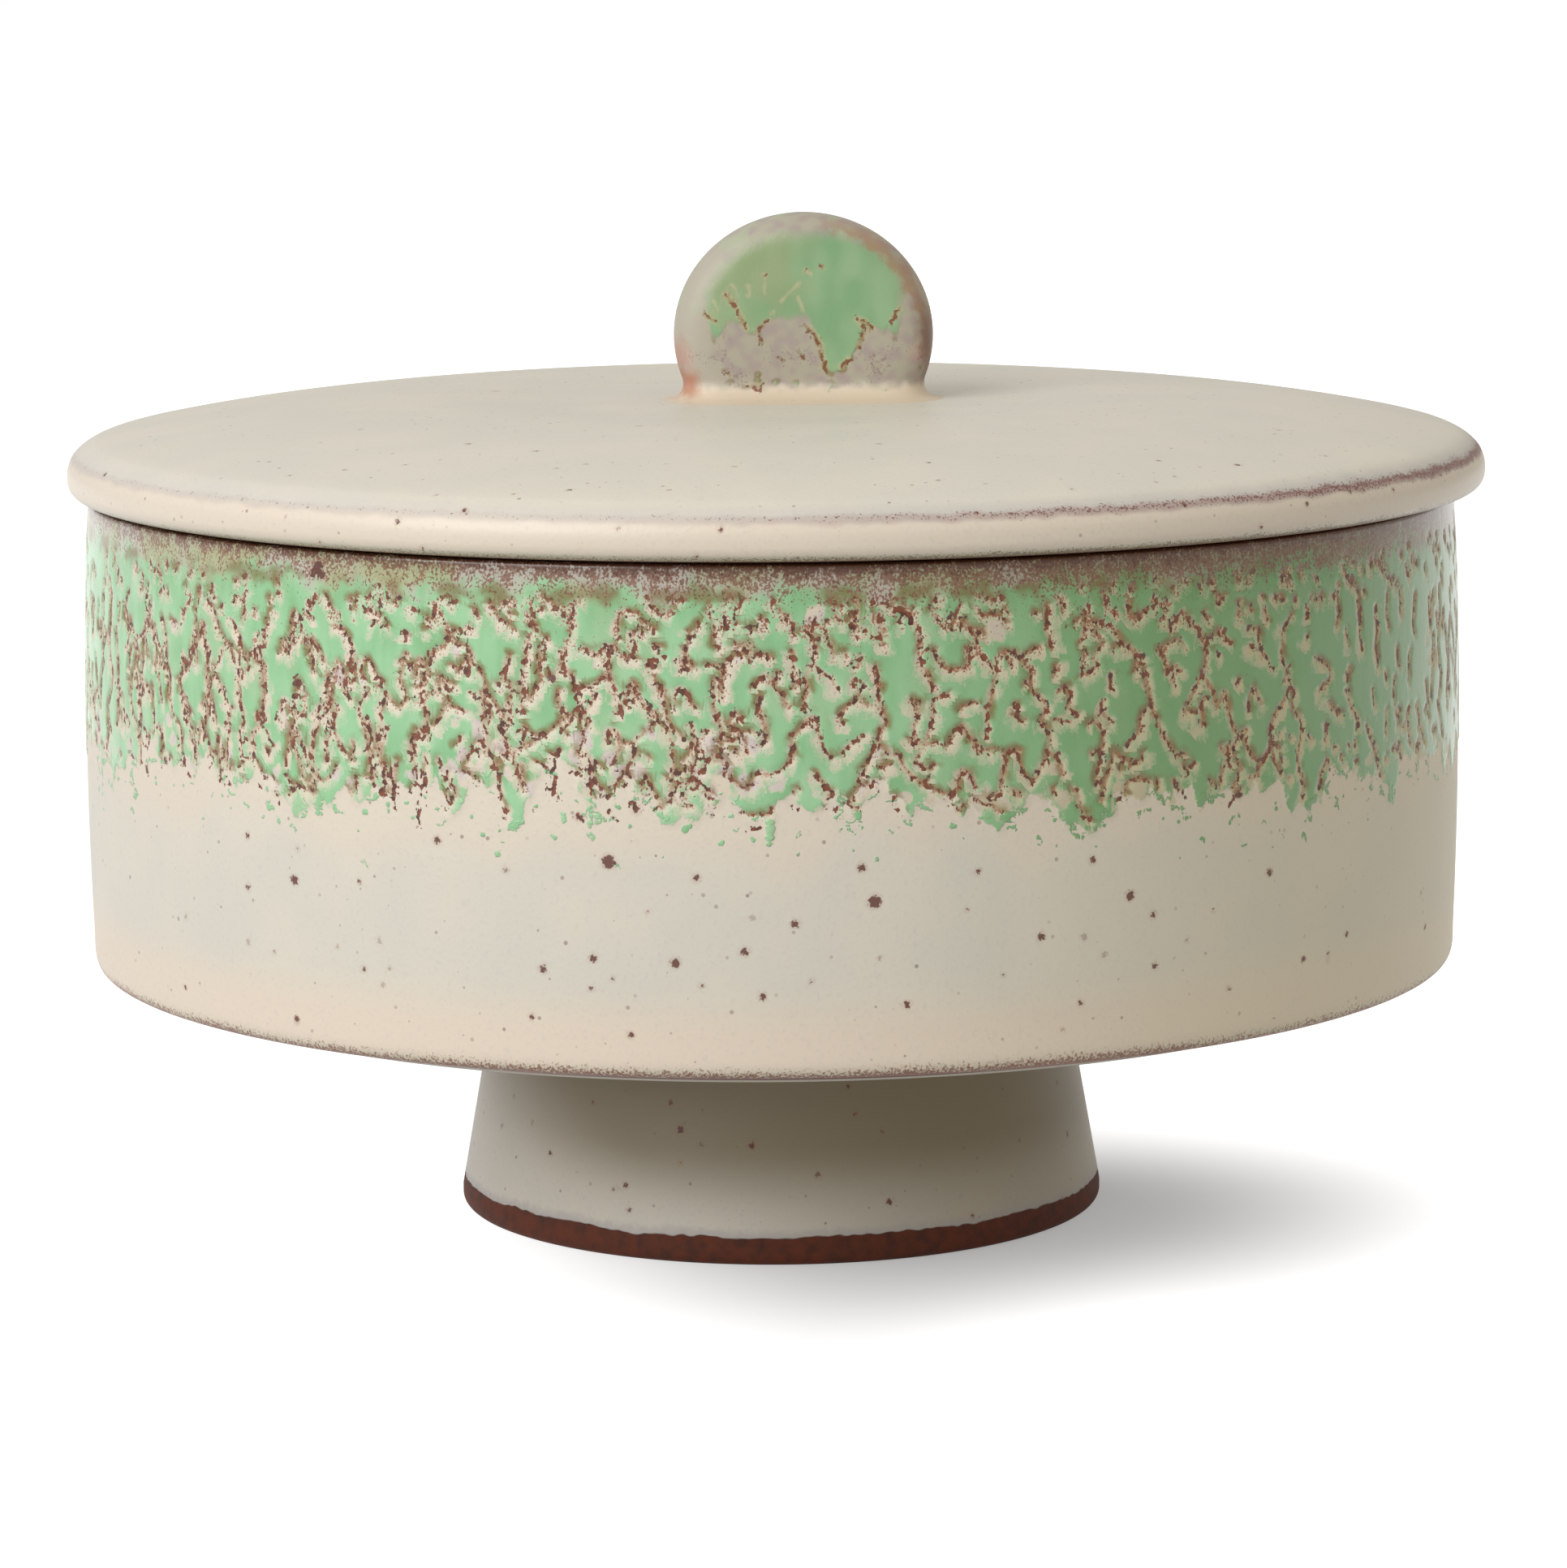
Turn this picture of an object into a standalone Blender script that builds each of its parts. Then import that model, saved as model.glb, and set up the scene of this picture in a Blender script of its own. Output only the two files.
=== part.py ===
"""Stoneware candy dish: a round straight-sided bowl on a flared hollow foot, with a loose lid.

The bowl and its foot are one body. The lid, with its locating ring, knob and knob fillet, is the other.
Run with: blender --background --python part.py
Metres, +Z up. The origin is on the table under the middle of the foot, and the front faces -Y.
"""

import math

import bmesh
import bpy

MM = 0.001

# Foot: a hollow flared ring under the bowl
FOOT_HEIGHT = 24.7 * MM
FOOT_BASE_RADIUS = 33.3 * MM
FOOT_TOP_RADIUS = 29.2 * MM
FOOT_WALL = 5.0 * MM
# The side is a straight cone that stands upright over its last stretch above the table
FOOT_UPRIGHT = 1.6 * MM
FOOT_BASE_ROUNDING = 0.9 * MM

# Bowl, whose thrown wall bellies out a little and stands slightly off the foot's axis
BOWL_SHIFT_X = -0.57 * MM
BOWL_HEIGHT = 48.9 * MM
BELLY_RADIUS = 70.6 * MM
BELLY_LEVEL = 22.5 * MM
MOUTH_DRAW_IN = 0.7 * MM
WALL = 4.6 * MM
FLOOR = 5.0 * MM
LIP_ROUNDING = 1.4 * MM
HEEL_RADIUS = 3.4 * MM
INNER_CORNER_RADIUS = 9.0 * MM
# The trimmed step under the heel: a first edge, then a lower and narrower second one
HEEL_LEVEL = 1.35 * MM
HEEL_FLAT = 0.4 * MM
STEP_WIDTH = 2.8 * MM
SECOND_EDGE_LEVEL = 0.25 * MM
STEP_GROOVE = 0.22 * MM

# Lid: a low crown with a bull-nosed rim
LID_RADIUS = 72.5 * MM
LID_EDGE_REACH = 4.0 * MM
LID_WIDEST_LEVEL = 2.4 * MM
LID_SHOULDER_LEVEL = 6.3 * MM
LID_CROWN_RISE = 3.4 * MM
LID_CROWN_POWER = 3.0
LID_EDGE_POWER = 2.3
LID_DIP = 0.5 * MM
LID_DIP_WIDTH = 18.0 * MM
LID_THICKNESS = 5.4 * MM
LID_HOLLOW_POWER = 4.0
LID_HOLLOW_MARGIN = 3.0 * MM

# Locating ring under the lid, which drops inside the mouth
RING_DEPTH = 6.2 * MM
RING_WALL = 4.0 * MM
RING_PLAY = 0.6 * MM
RING_ROUNDING = 1.0 * MM

# Knob: an upright oval disc, a little to the right of the lid's middle
KNOB_SHIFT_X = 2.9 * MM
KNOB_WIDTH = 26.6 * MM
KNOB_OVAL_HEIGHT = 25.0 * MM
KNOB_STANDING_HEIGHT = 18.8 * MM
KNOB_THICKNESS = 8.0 * MM
KNOB_EDGE_ROUNDING = 2.6 * MM
# The fillet of clay smoothed round the knob's root
FILLET_SPREAD = 3.2 * MM
FILLET_CREST = 0.8 * MM
FILLET_HEIGHT = 1.9 * MM
FILLET_EDGE = 0.35 * MM

# Clearance between pieces that rest on or surround each other
SEAT_GAP = 0.3 * MM

# Facets round a turned piece, over a full turn of the knob's outline, and along arcs and curves
TURNED_STEPS = 64
KNOB_STEPS = 56
LARGE_ARC_STEPS = 6
SMALL_ARC_STEPS = 3
WALL_STEPS = 7
CROWN_STEPS = 7
HOLLOW_STEPS = 4
KNOB_EDGE_STEPS = 4
FILLET_STEPS = 5
MERGE = 0.00001
CUTTER_SPARE = 2.0 * MM

# Heights that stack up from the table
underside_z = FOOT_HEIGHT + SEAT_GAP
mouth_z = underside_z + BOWL_HEIGHT
lid_seat_z = mouth_z + SEAT_GAP
shoulder_z = lid_seat_z + LID_SHOULDER_LEVEL
crown_z = shoulder_z + LID_CROWN_RISE
knob_seat_z = crown_z - LID_DIP
knob_bottom_z = knob_seat_z + SEAT_GAP
knob_middle_z = knob_bottom_z + KNOB_STANDING_HEIGHT - KNOB_OVAL_HEIGHT / 2

# Radii that follow from the driving sizes
knob_seat_radius = abs(KNOB_SHIFT_X) + KNOB_WIDTH / 2 + FILLET_SPREAD
shoulder_radius = LID_RADIUS - LID_EDGE_REACH
mouth_inner_radius = BELLY_RADIUS - MOUTH_DRAW_IN - WALL
ring_radius = mouth_inner_radius - abs(BOWL_SHIFT_X) - RING_PLAY


def clear_scene():
    for obj in list(bpy.data.objects):
        bpy.data.objects.remove(obj, do_unlink=True)


def material(name, colour, roughness):
    """A plain fired-clay or glaze material."""
    made = bpy.data.materials.new(name)
    made.use_nodes = True
    shader = made.node_tree.nodes["Principled BSDF"]
    shader.inputs["Base Color"].default_value = (*colour, 1.0)
    shader.inputs["Roughness"].default_value = roughness
    shader.inputs["Metallic"].default_value = 0.0
    return made


def arc(centre, radii, start, end, count, power=2.0):
    """Points of a (super)elliptic arc in the (radius, z) plane, with angles in degrees from +radius."""
    points = []
    for index in range(count + 1):
        angle = math.radians(start + (end - start) * index / count)
        across, up = math.cos(angle), math.sin(angle)
        across = math.copysign(abs(across) ** (2 / power), across)
        up = math.copysign(abs(up) ** (2 / power), up)
        points.append((centre[0] + radii[0] * across, centre[1] + radii[1] * up))
    return points


def turned(name, profile, closed, shift_x, surface, parent):
    """A piece turned on the wheel: its profile runs down the outer side and is screwed round +Z."""
    mesh = bpy.data.meshes.new(name)
    points = [(radius, 0.0, z) for radius, z in profile]
    edges = [(i, i + 1) for i in range(len(points) - 1)]
    if closed:
        edges.append((len(points) - 1, 0))
    mesh.from_pydata(points, edges, [])
    obj = bpy.data.objects.new(name, mesh)
    bpy.context.scene.collection.objects.link(obj)
    screw = obj.modifiers.new("Turn", "SCREW")
    screw.axis = "Z"
    screw.angle = math.tau
    screw.steps = TURNED_STEPS
    screw.render_steps = TURNED_STEPS
    screw.use_merge_vertices = True
    screw.merge_threshold = MERGE
    screw.use_smooth_shade = True
    obj.location.x = shift_x
    return finish(obj, surface, parent)


def finish(obj, surface, parent):
    obj.data.materials.append(surface)
    obj.parent = parent
    return obj


def wall_radius(z):
    """The bowl's outer radius at a height: fullest at the belly and drawn in towards the mouth."""
    belly_z = underside_z + BELLY_LEVEL
    curve = MOUTH_DRAW_IN / (mouth_z - belly_z) ** 2
    return BELLY_RADIUS - curve * (z - belly_z) ** 2


def make_bowl(surface, parent):
    heel_z = underside_z + HEEL_LEVEL
    heel_top_z = heel_z + HEEL_RADIUS
    heel_outer = wall_radius(heel_top_z)
    first_edge = (heel_outer - HEEL_RADIUS - HEEL_FLAT, heel_z)
    second_edge = (first_edge[0] - STEP_WIDTH, underside_z + SECOND_EDGE_LEVEL)
    groove = (first_edge[0] - STEP_GROOVE, first_edge[1] - STEP_GROOVE / 2)
    step = (groove[0] - STEP_GROOVE, groove[1] - STEP_GROOVE)
    lip_z = mouth_z - LIP_ROUNDING
    lip_middle = wall_radius(lip_z) - WALL / 2
    floor_z = underside_z + FLOOR
    corner_z = floor_z + INNER_CORNER_RADIUS
    climb = [corner_z + (lip_z - corner_z) * i / WALL_STEPS for i in range(WALL_STEPS)]
    descent = [lip_z + (heel_top_z - lip_z) * i / WALL_STEPS for i in range(1, WALL_STEPS)]
    corner_centre = (wall_radius(corner_z) - WALL - INNER_CORNER_RADIUS, corner_z)
    heel_centre = (heel_outer - HEEL_RADIUS, heel_top_z)
    profile = [(0.0, floor_z)]
    profile += arc(corner_centre, (INNER_CORNER_RADIUS,) * 2, -90, 0, LARGE_ARC_STEPS)[:-1]
    profile += [(wall_radius(z) - WALL, z) for z in climb]
    profile += arc((lip_middle, lip_z), (WALL / 2, LIP_ROUNDING), 180, 0, LARGE_ARC_STEPS)
    profile += [(wall_radius(z), z) for z in descent]
    profile += arc(heel_centre, (HEEL_RADIUS,) * 2, 0, -90, LARGE_ARC_STEPS)
    profile += [first_edge, groove, step, second_edge]
    profile += [(second_edge[0] - SECOND_EDGE_LEVEL, underside_z), (0.0, underside_z)]
    return turned("bowl", profile, False, BOWL_SHIFT_X, surface, parent)


def make_foot(surface, parent):
    rounding = (FOOT_BASE_ROUNDING, FOOT_BASE_ROUNDING)
    inner_base = FOOT_BASE_RADIUS - FOOT_WALL
    inner_top = FOOT_TOP_RADIUS - FOOT_WALL
    outer_centre = (FOOT_BASE_RADIUS - FOOT_BASE_ROUNDING, FOOT_BASE_ROUNDING)
    inner_centre = (inner_base + FOOT_BASE_ROUNDING, FOOT_BASE_ROUNDING)
    profile = [(inner_top, FOOT_HEIGHT), (FOOT_TOP_RADIUS, FOOT_HEIGHT)]
    profile += [(FOOT_BASE_RADIUS, FOOT_BASE_ROUNDING + FOOT_UPRIGHT)]
    profile += arc(outer_centre, rounding, 0, -90, SMALL_ARC_STEPS)
    profile += arc(inner_centre, rounding, -90, -180, SMALL_ARC_STEPS)
    return turned("foot", profile, True, 0.0, surface, parent)


def crown_height(radius):
    """The lid's top: a flat seat under the knob, a slight dip round it, and a crown that falls away."""
    if radius <= knob_seat_radius:
        return knob_seat_z
    fall = (radius - knob_seat_radius) / (shoulder_radius - knob_seat_radius)
    out_of_dip = min((radius - knob_seat_radius) / LID_DIP_WIDTH, 1.0)
    dip = LID_DIP * (1 - out_of_dip) ** 2 * (1 + 2 * out_of_dip)
    return crown_z - dip - LID_CROWN_RISE * fall**LID_CROWN_POWER


def make_lid(surface, parent):
    widest_z = lid_seat_z + LID_WIDEST_LEVEL
    above = (LID_EDGE_REACH, shoulder_z - widest_z)
    below = (LID_EDGE_REACH, widest_z - lid_seat_z)
    crown_width = shoulder_radius - knob_seat_radius
    radii = [knob_seat_radius + crown_width * i / CROWN_STEPS for i in range(CROWN_STEPS)]
    edge_centre = (shoulder_radius, widest_z)
    hollow_radius = ring_radius - RING_WALL - LID_HOLLOW_MARGIN
    hollow_rise = knob_seat_z - LID_THICKNESS - lid_seat_z
    profile = [(0.0, knob_seat_z)]
    profile += [(radius, crown_height(radius)) for radius in radii]
    profile += arc(edge_centre, above, 90, 0, LARGE_ARC_STEPS, LID_EDGE_POWER)[:-1]
    profile += arc(edge_centre, below, 0, -90, LARGE_ARC_STEPS, LID_EDGE_POWER)
    for index in range(HOLLOW_STEPS):
        share = 1 - index / HOLLOW_STEPS
        rise = hollow_rise * (1 - share**LID_HOLLOW_POWER)
        profile.append((hollow_radius * share, lid_seat_z + rise))
    profile.append((0.0, lid_seat_z + hollow_rise))
    return turned("lid", profile, False, 0.0, surface, parent)


def make_ring(surface, parent):
    top_z = lid_seat_z - SEAT_GAP
    bottom_z = top_z - RING_DEPTH
    inner_radius = ring_radius - RING_WALL
    rounding = (RING_ROUNDING, RING_ROUNDING)
    outer_centre = (ring_radius - RING_ROUNDING, bottom_z + RING_ROUNDING)
    inner_centre = (inner_radius + RING_ROUNDING, bottom_z + RING_ROUNDING)
    profile = [(inner_radius, top_z), (ring_radius, top_z)]
    profile += arc(outer_centre, rounding, 0, -90, SMALL_ARC_STEPS)
    profile += arc(inner_centre, rounding, -90, -180, SMALL_ARC_STEPS)
    return turned("lid_ring", profile, True, 0.0, surface, parent)


def knob_half_width(z):
    """Half the knob's width at a height, from its oval outline."""
    up = (z - knob_middle_z) / (KNOB_OVAL_HEIGHT / 2)
    return KNOB_WIDTH / 2 * math.sqrt(max(1 - up * up, 0.0))


def make_knob(surface, parent):
    mesh = bpy.data.meshes.new("knob")
    shape = bmesh.new()
    ring = []
    for index in range(KNOB_STEPS):
        angle = math.tau * index / KNOB_STEPS
        across = KNOB_WIDTH / 2 * math.cos(angle)
        up = KNOB_OVAL_HEIGHT / 2 * math.sin(angle)
        ring.append(shape.verts.new((across, -KNOB_THICKNESS / 2, up)))
    face = shape.faces.new(ring)
    grown = bmesh.ops.extrude_face_region(shape, geom=[face])
    far_side = [item for item in grown["geom"] if isinstance(item, bmesh.types.BMVert)]
    bmesh.ops.translate(shape, verts=far_side, vec=(0.0, KNOB_THICKNESS, 0.0))
    bmesh.ops.recalc_face_normals(shape, faces=shape.faces)
    shape.to_mesh(mesh)
    shape.free()
    knob = bpy.data.objects.new("knob", mesh)
    bpy.context.scene.collection.objects.link(knob)
    knob.location = (KNOB_SHIFT_X, 0.0, knob_middle_z)
    bevel = knob.modifiers.new("Rounded edge", "BEVEL")
    bevel.width = KNOB_EDGE_ROUNDING
    bevel.segments = KNOB_EDGE_STEPS
    bevel.limit_method = "ANGLE"
    bevel.angle_limit = math.radians(60)
    cut = knob.modifiers.new("Flat root", "BOOLEAN")
    cut.operation = "DIFFERENCE"
    cut.solver = "EXACT"
    cut.object = make_root_cutter(parent)
    mesh.shade_smooth()
    return finish(knob, surface, parent)


def make_root_cutter(parent):
    """The block below the knob's seat, which cuts the oval disc off flat."""
    mesh = bpy.data.meshes.new("knob_root_cutter")
    shape = bmesh.new()
    bmesh.ops.create_cube(shape, size=1.0)
    depth = KNOB_OVAL_HEIGHT
    size = (KNOB_WIDTH + CUTTER_SPARE, KNOB_THICKNESS + CUTTER_SPARE, depth)
    bmesh.ops.scale(shape, vec=size, verts=shape.verts)
    shape.to_mesh(mesh)
    shape.free()
    cutter = bpy.data.objects.new("knob_root_cutter", mesh)
    bpy.context.scene.collection.objects.link(cutter)
    cutter.location = (KNOB_SHIFT_X, 0.0, knob_bottom_z - depth / 2)
    cutter.hide_render = True
    cutter.display_type = "WIRE"
    cutter.parent = parent
    return cutter


def rounded_loop(half_x, half_y, corner, z, corner_steps=5):
    """Points round a rectangle with round corners, at one height about the knob's middle."""
    points = []
    for turn, (side_x, side_y) in enumerate(((1, 1), (-1, 1), (-1, -1), (1, -1))):
        for index in range(corner_steps + 1):
            angle = math.radians(90 * (turn + index / corner_steps))
            across = side_x * (half_x - corner) + corner * math.cos(angle)
            along = side_y * (half_y - corner) + corner * math.sin(angle)
            points.append((KNOB_SHIFT_X + across, along, z))
    return points


def make_fillet(surface, parent):
    """A low collar with a hollow slope, all round the knob's root and clear of it."""
    half_y = KNOB_THICKNESS / 2 + SEAT_GAP
    top_z = knob_bottom_z + FILLET_HEIGHT
    corner = KNOB_EDGE_ROUNDING
    root_x = knob_half_width(knob_bottom_z) + SEAT_GAP
    top_x = knob_half_width(top_z) + SEAT_GAP
    widest = FILLET_CREST + FILLET_SPREAD
    loops = [rounded_loop(root_x, half_y, corner, knob_bottom_z)]
    loops.append(rounded_loop(root_x + widest, half_y + widest, corner + widest, knob_bottom_z))
    for index in range(FILLET_STEPS + 1):
        share = index / FILLET_STEPS
        reach = FILLET_CREST + FILLET_SPREAD * (1 - share)
        z = knob_bottom_z + FILLET_EDGE + (FILLET_HEIGHT - FILLET_EDGE) * share**2
        half_x = knob_half_width(z) + SEAT_GAP + reach
        loops.append(rounded_loop(half_x, half_y + reach, corner + reach, z))
    loops.append(rounded_loop(top_x, half_y, corner, top_z))
    mesh = bpy.data.meshes.new("knob_fillet")
    shape = bmesh.new()
    rings = [[shape.verts.new(point) for point in loop] for loop in loops]
    for lower, upper in zip(rings, rings[1:] + rings[:1]):
        for index in range(len(lower)):
            following = (index + 1) % len(lower)
            shape.faces.new((lower[index], lower[following], upper[following], upper[index]))
    bmesh.ops.recalc_face_normals(shape, faces=shape.faces)
    shape.to_mesh(mesh)
    shape.free()
    mesh.shade_smooth()
    fillet = bpy.data.objects.new("knob_fillet", mesh)
    bpy.context.scene.collection.objects.link(fillet)
    return finish(fillet, surface, parent)


def make_body(name):
    """An empty on the upright axis that the lid lifts along, which carries the pieces of one body."""
    body = bpy.data.objects.new(name, None)
    bpy.context.scene.collection.objects.link(body)
    return body


def main():
    clear_scene()
    cream = material("cream_glaze", (0.70, 0.63, 0.51), 0.55)
    banded = material("green_over_cream_glaze", (0.52, 0.60, 0.43), 0.45)
    green = material("green_glaze", (0.26, 0.52, 0.29), 0.40)
    dish = make_body("dish")
    cover = make_body("cover")
    make_bowl(banded, dish)
    make_foot(cream, dish)
    make_lid(cream, cover)
    make_ring(cream, cover)
    make_knob(green, cover)
    make_fillet(cream, cover)


main()
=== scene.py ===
"""Looks of the candy dish: glazed stoneware on the fixed CAD frame, with a floor, a light and a camera."""

import math

import bpy
import numpy as np
from mathutils import Matrix, Vector
from mathutils.kdtree import KDTree


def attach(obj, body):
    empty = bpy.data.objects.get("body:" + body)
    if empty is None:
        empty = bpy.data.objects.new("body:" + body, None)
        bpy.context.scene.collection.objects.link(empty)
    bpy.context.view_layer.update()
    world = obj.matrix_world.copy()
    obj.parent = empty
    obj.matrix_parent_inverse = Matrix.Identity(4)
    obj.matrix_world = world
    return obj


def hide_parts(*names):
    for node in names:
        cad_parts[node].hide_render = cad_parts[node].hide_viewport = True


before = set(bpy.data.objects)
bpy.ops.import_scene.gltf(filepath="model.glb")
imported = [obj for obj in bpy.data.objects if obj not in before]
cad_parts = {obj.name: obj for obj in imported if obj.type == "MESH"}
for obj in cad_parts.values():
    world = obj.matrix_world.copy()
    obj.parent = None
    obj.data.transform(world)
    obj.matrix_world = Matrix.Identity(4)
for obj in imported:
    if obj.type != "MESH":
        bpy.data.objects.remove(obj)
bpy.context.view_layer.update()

MM = 0.001

# The photograph's frame and the camera fitted to it. Lengths below are in millimetres.
PHOTO_WIDTH = 1931
PHOTO_HEIGHT = 1932
FOCAL_PX = 7208.6
CAMERA_PLACE = (0.0, -600.0, 136.6)
CAMERA_PITCH = math.radians(8.837)
CAMERA_ROLL = math.radians(0.42)
CAMERA_YAW = math.radians(-0.05)
SENSOR_MM = 36.0
CLIP_M = (0.05, 30.0)
# The photograph's scale at the dish
PX_PER_MM = 13.2
# Sight lines are followed over this stretch, counted from the camera, in steps this long.
SIGHT_STRETCH = (440.0, 720.0)
SIGHT_STEP = 0.1

# The bowl, as the CAD has it apart from a slightly higher lip and a fuller heel
BOWL_SHIFT_X = -0.57
UNDERSIDE_Z = 25.0
MOUTH_Z = 73.9
BELLY_RADIUS = 70.6
BELLY_Z = 47.5
MOUTH_DRAW_IN = 0.7
WALL = 4.6
FLOOR_Z = 30.0
LIP_ROUNDING = 0.35
LIP_TOP_Z = 74.55
HEEL_RADIUS = 3.4
HEEL_POWER = 0.42
INNER_CORNER_RADIUS = 9.0
FIRST_EDGE = (66.75, 26.35)
SECOND_EDGE = (63.95, 25.25)

# The lid and its locating ring
LID_RADIUS = 72.48
LID_SEAT_Z = 74.62
LID_CENTRE_Z = 83.4
LID_CROWN_Z = 83.9
LID_SHOULDER = (68.5, 80.5)
LID_FLAT_RADIUS = 19.4
LID_ARRIS_Z = 78.7
LID_HOLLOW_RADIUS = 57.1
LID_HOLLOW_RISE = 3.8
RING_OUTER = 64.13
RING_INNER = 60.13
RING_BOTTOM_Z = 67.7
RING_ROUNDING = 1.0

# The knob: an oval disc on edge, with clay smoothed out round its root
KNOB_SHIFT_X = 2.9
KNOB_MIDDLE_Z = 90.0
KNOB_HALF_WIDTH = 13.3
KNOB_HALF_HEIGHT = 12.5
KNOB_HALF_THICKNESS = 4.0
KNOB_FACE_POWER = 9.0
KNOB_EDGE_POWER = 2.2
FILLET_SPREAD = 3.2
FILLET_HEIGHT = 2.4

# The foot
FOOT_TOP_Z = 24.9
FOOT_TOP_RADIUS = 29.2
FOOT_BASE_RADIUS = 33.3
FOOT_WALL = 5.0
FOOT_UPRIGHT_Z = 1.6
FOOT_ROUNDING = 0.9
CLAY_BAND_Z = 2.85

# The run glaze: its ragged lower fringe, its lowest drops, the height above which it has no drops, and the
# height below which it is barer
FRINGE_Z = 51.6
BAND_LOW = 44.0
DROPS_TOP_Z = 57.0
BARER_Z = 57.5
# How far it stands out, how far its brown lines lie in, and where both end under the lip
GLAZE_RELIEF = 0.1
LINE_SINK = 0.06
RELIEF_TOP_Z = 73.4
ROUND_WALL = math.tau * BELLY_RADIUS
# How far round the wall from the front the photograph's marks reach. From there to the second reach, only
# some of the random marks are kept.
FRONT_REACH = 84.0
SPARSE_REACH = 125.0
# The rows of random marks, and how many go once round the wall. A random number gives each one its kind.
MARK_LEVELS = (65.2, 62.2, 59.0, 55.8)
MARK_COLUMNS = 122
ARCHES_BELOW = 0.42
STREAKS_BELOW = 0.76
HOOKS_BELOW = 0.9
# The wall unrolled: its columns, its lowest and highest places, and the step between its rows
SHEET_COLUMNS = 1600
SHEET_LOW = 42.0
SHEET_HIGH = 77.0
SHEET_STEP = 0.17
# The pitch of the samples along a drawn line, and an offset that stands for nothing near
LINE_PITCH = 0.07
FAR = 9.0
# The highest random specks on the wall, how far round a speck places are looked at, and how far outside its
# rim they still belong to it
SPECKS_TOP_Z = 50.0
SPECK_REACH = 3.0
SPECK_EDGE = 0.7

# How finely the pieces are meshed: columns once round, and slices up the knob
WALL_COLUMNS = 1600
LID_COLUMNS = 720
FOOT_COLUMNS = 384
HIDDEN_COLUMNS = 256
KNOB_COLUMNS = 240
KNOB_SLICES = 110
# How much closer the knob's slices lie near its top, and how far its root goes into the lid
KNOB_CROWDING = 1.25
KNOB_SINK = 0.03
# The free edge left round the bake maps
MAP_MARGIN = 0.006
KNOB_MAP_MARGIN = 0.01

# The studio, in metres and watts: the floor's radius, and the one light
FLOOR_RADIUS = 4.0
FLOOR_SIDES = 96
KEY_PLACE = (-0.745, -0.77, 0.69)
KEY_SIZE = 0.9
KEY_POWER = 10.8
# The middle of the dish's shadow on the floor, in mm, round which the floor's glow is dimmed into a painted
# shadow
PAINTED_SHADOW_X = 20.0
PAINTED_SHADOW_Y = -8.0


def add_object(name, data):
    """A new object in the scene."""
    added = bpy.data.objects.new(name, data)
    bpy.context.scene.collection.objects.link(added)
    return added


def camera_turn():
    """The camera's rotation: yaw, then the pitch down, then a roll that lifts the dish's right side."""
    yaw = Matrix.Rotation(CAMERA_YAW, 3, "Z")
    pitch = Matrix.Rotation(math.pi / 2 - CAMERA_PITCH, 3, "X")
    return yaw @ pitch @ Matrix.Rotation(-CAMERA_ROLL, 3, "Z")


def camera_line(x, y):
    """The direction of the sight line through a pixel of the photograph."""
    in_camera = Vector((x - PHOTO_WIDTH / 2, PHOTO_HEIGHT / 2 - y, -FOCAL_PX))
    return np.array(camera_turn() @ in_camera.normalized())


def make_camera():
    data = bpy.data.cameras.new("camera")
    data.sensor_width = SENSOR_MM
    data.lens = FOCAL_PX / max(PHOTO_WIDTH, PHOTO_HEIGHT) * data.sensor_width
    data.clip_start, data.clip_end = CLIP_M
    camera = add_object("camera", data)
    camera.matrix_world = Matrix.Translation(Vector(CAMERA_PLACE) * MM) @ camera_turn().to_4x4()
    bpy.context.scene.camera = camera


def struck(x, y, outside, axis_x):
    """The place where the sight line through a photograph's pixel first comes inside a turned shape."""
    reach = np.arange(*SIGHT_STRETCH, SIGHT_STEP)[:, None]
    places = np.array(CAMERA_PLACE) + reach * camera_line(x, y)
    inside = outside(np.hypot(places[:, 0] - axis_x, places[:, 1]), places[:, 2]) < 0
    return places[np.argmax(inside)] if inside.any() else None


def on_knob(x, y):
    """Where the sight line through a photograph's pixel meets the knob's front face: across and height."""
    line = camera_line(x, y)
    place = np.array(CAMERA_PLACE) + line * (-KNOB_HALF_THICKNESS - CAMERA_PLACE[1]) / line[1]
    return place[0], place[2]


# Profiles: (radius, height) points, each with the piece's outer side on the left of its run


def arc(centre, radii, start, end, count):
    """Points of an elliptic arc, with angles in degrees from +radius."""
    angles = np.radians(np.linspace(start, end, count + 1))
    return [(centre[0] + radii[0] * math.cos(a), centre[1] + radii[1] * math.sin(a)) for a in angles]


def subdivided(profile, pitch):
    """The profile with points no further apart than pitch."""
    points = [profile[0]]
    for start, end in zip(profile, profile[1:]):
        steps = max(1, math.ceil(math.dist(start, end) / pitch - 1e-6))
        points += [tuple(np.add(start, np.subtract(end, start) * i / steps)) for i in range(1, steps + 1)]
    return points


def smooth_curve(points, pitch):
    """A smooth curve through the points, with points about pitch apart."""
    points = np.array(points, float)
    padded = np.vstack([2 * points[0] - points[1], points, 2 * points[-1] - points[-2]])
    curve = []
    for a, b, c, d in zip(padded, padded[1:], padded[2:], padded[3:]):
        t = np.arange(0, 1 - 1e-9, pitch / max(pitch, float(np.hypot(*(c - b)))))[:, None]
        curve.append(
            0.5 * (2 * b + (c - a) * t + (2 * a - 5 * b + 4 * c - d) * t**2 + (3 * b - a - 3 * c + d) * t**3)
        )
    return np.vstack([*curve, points[-1:]])


def wall_radius(z):
    """The bowl's outer radius, drawn in a little above and below the belly."""
    return BELLY_RADIUS - MOUTH_DRAW_IN * ((z - BELLY_Z) / (MOUTH_Z - BELLY_Z)) ** 2


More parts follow.
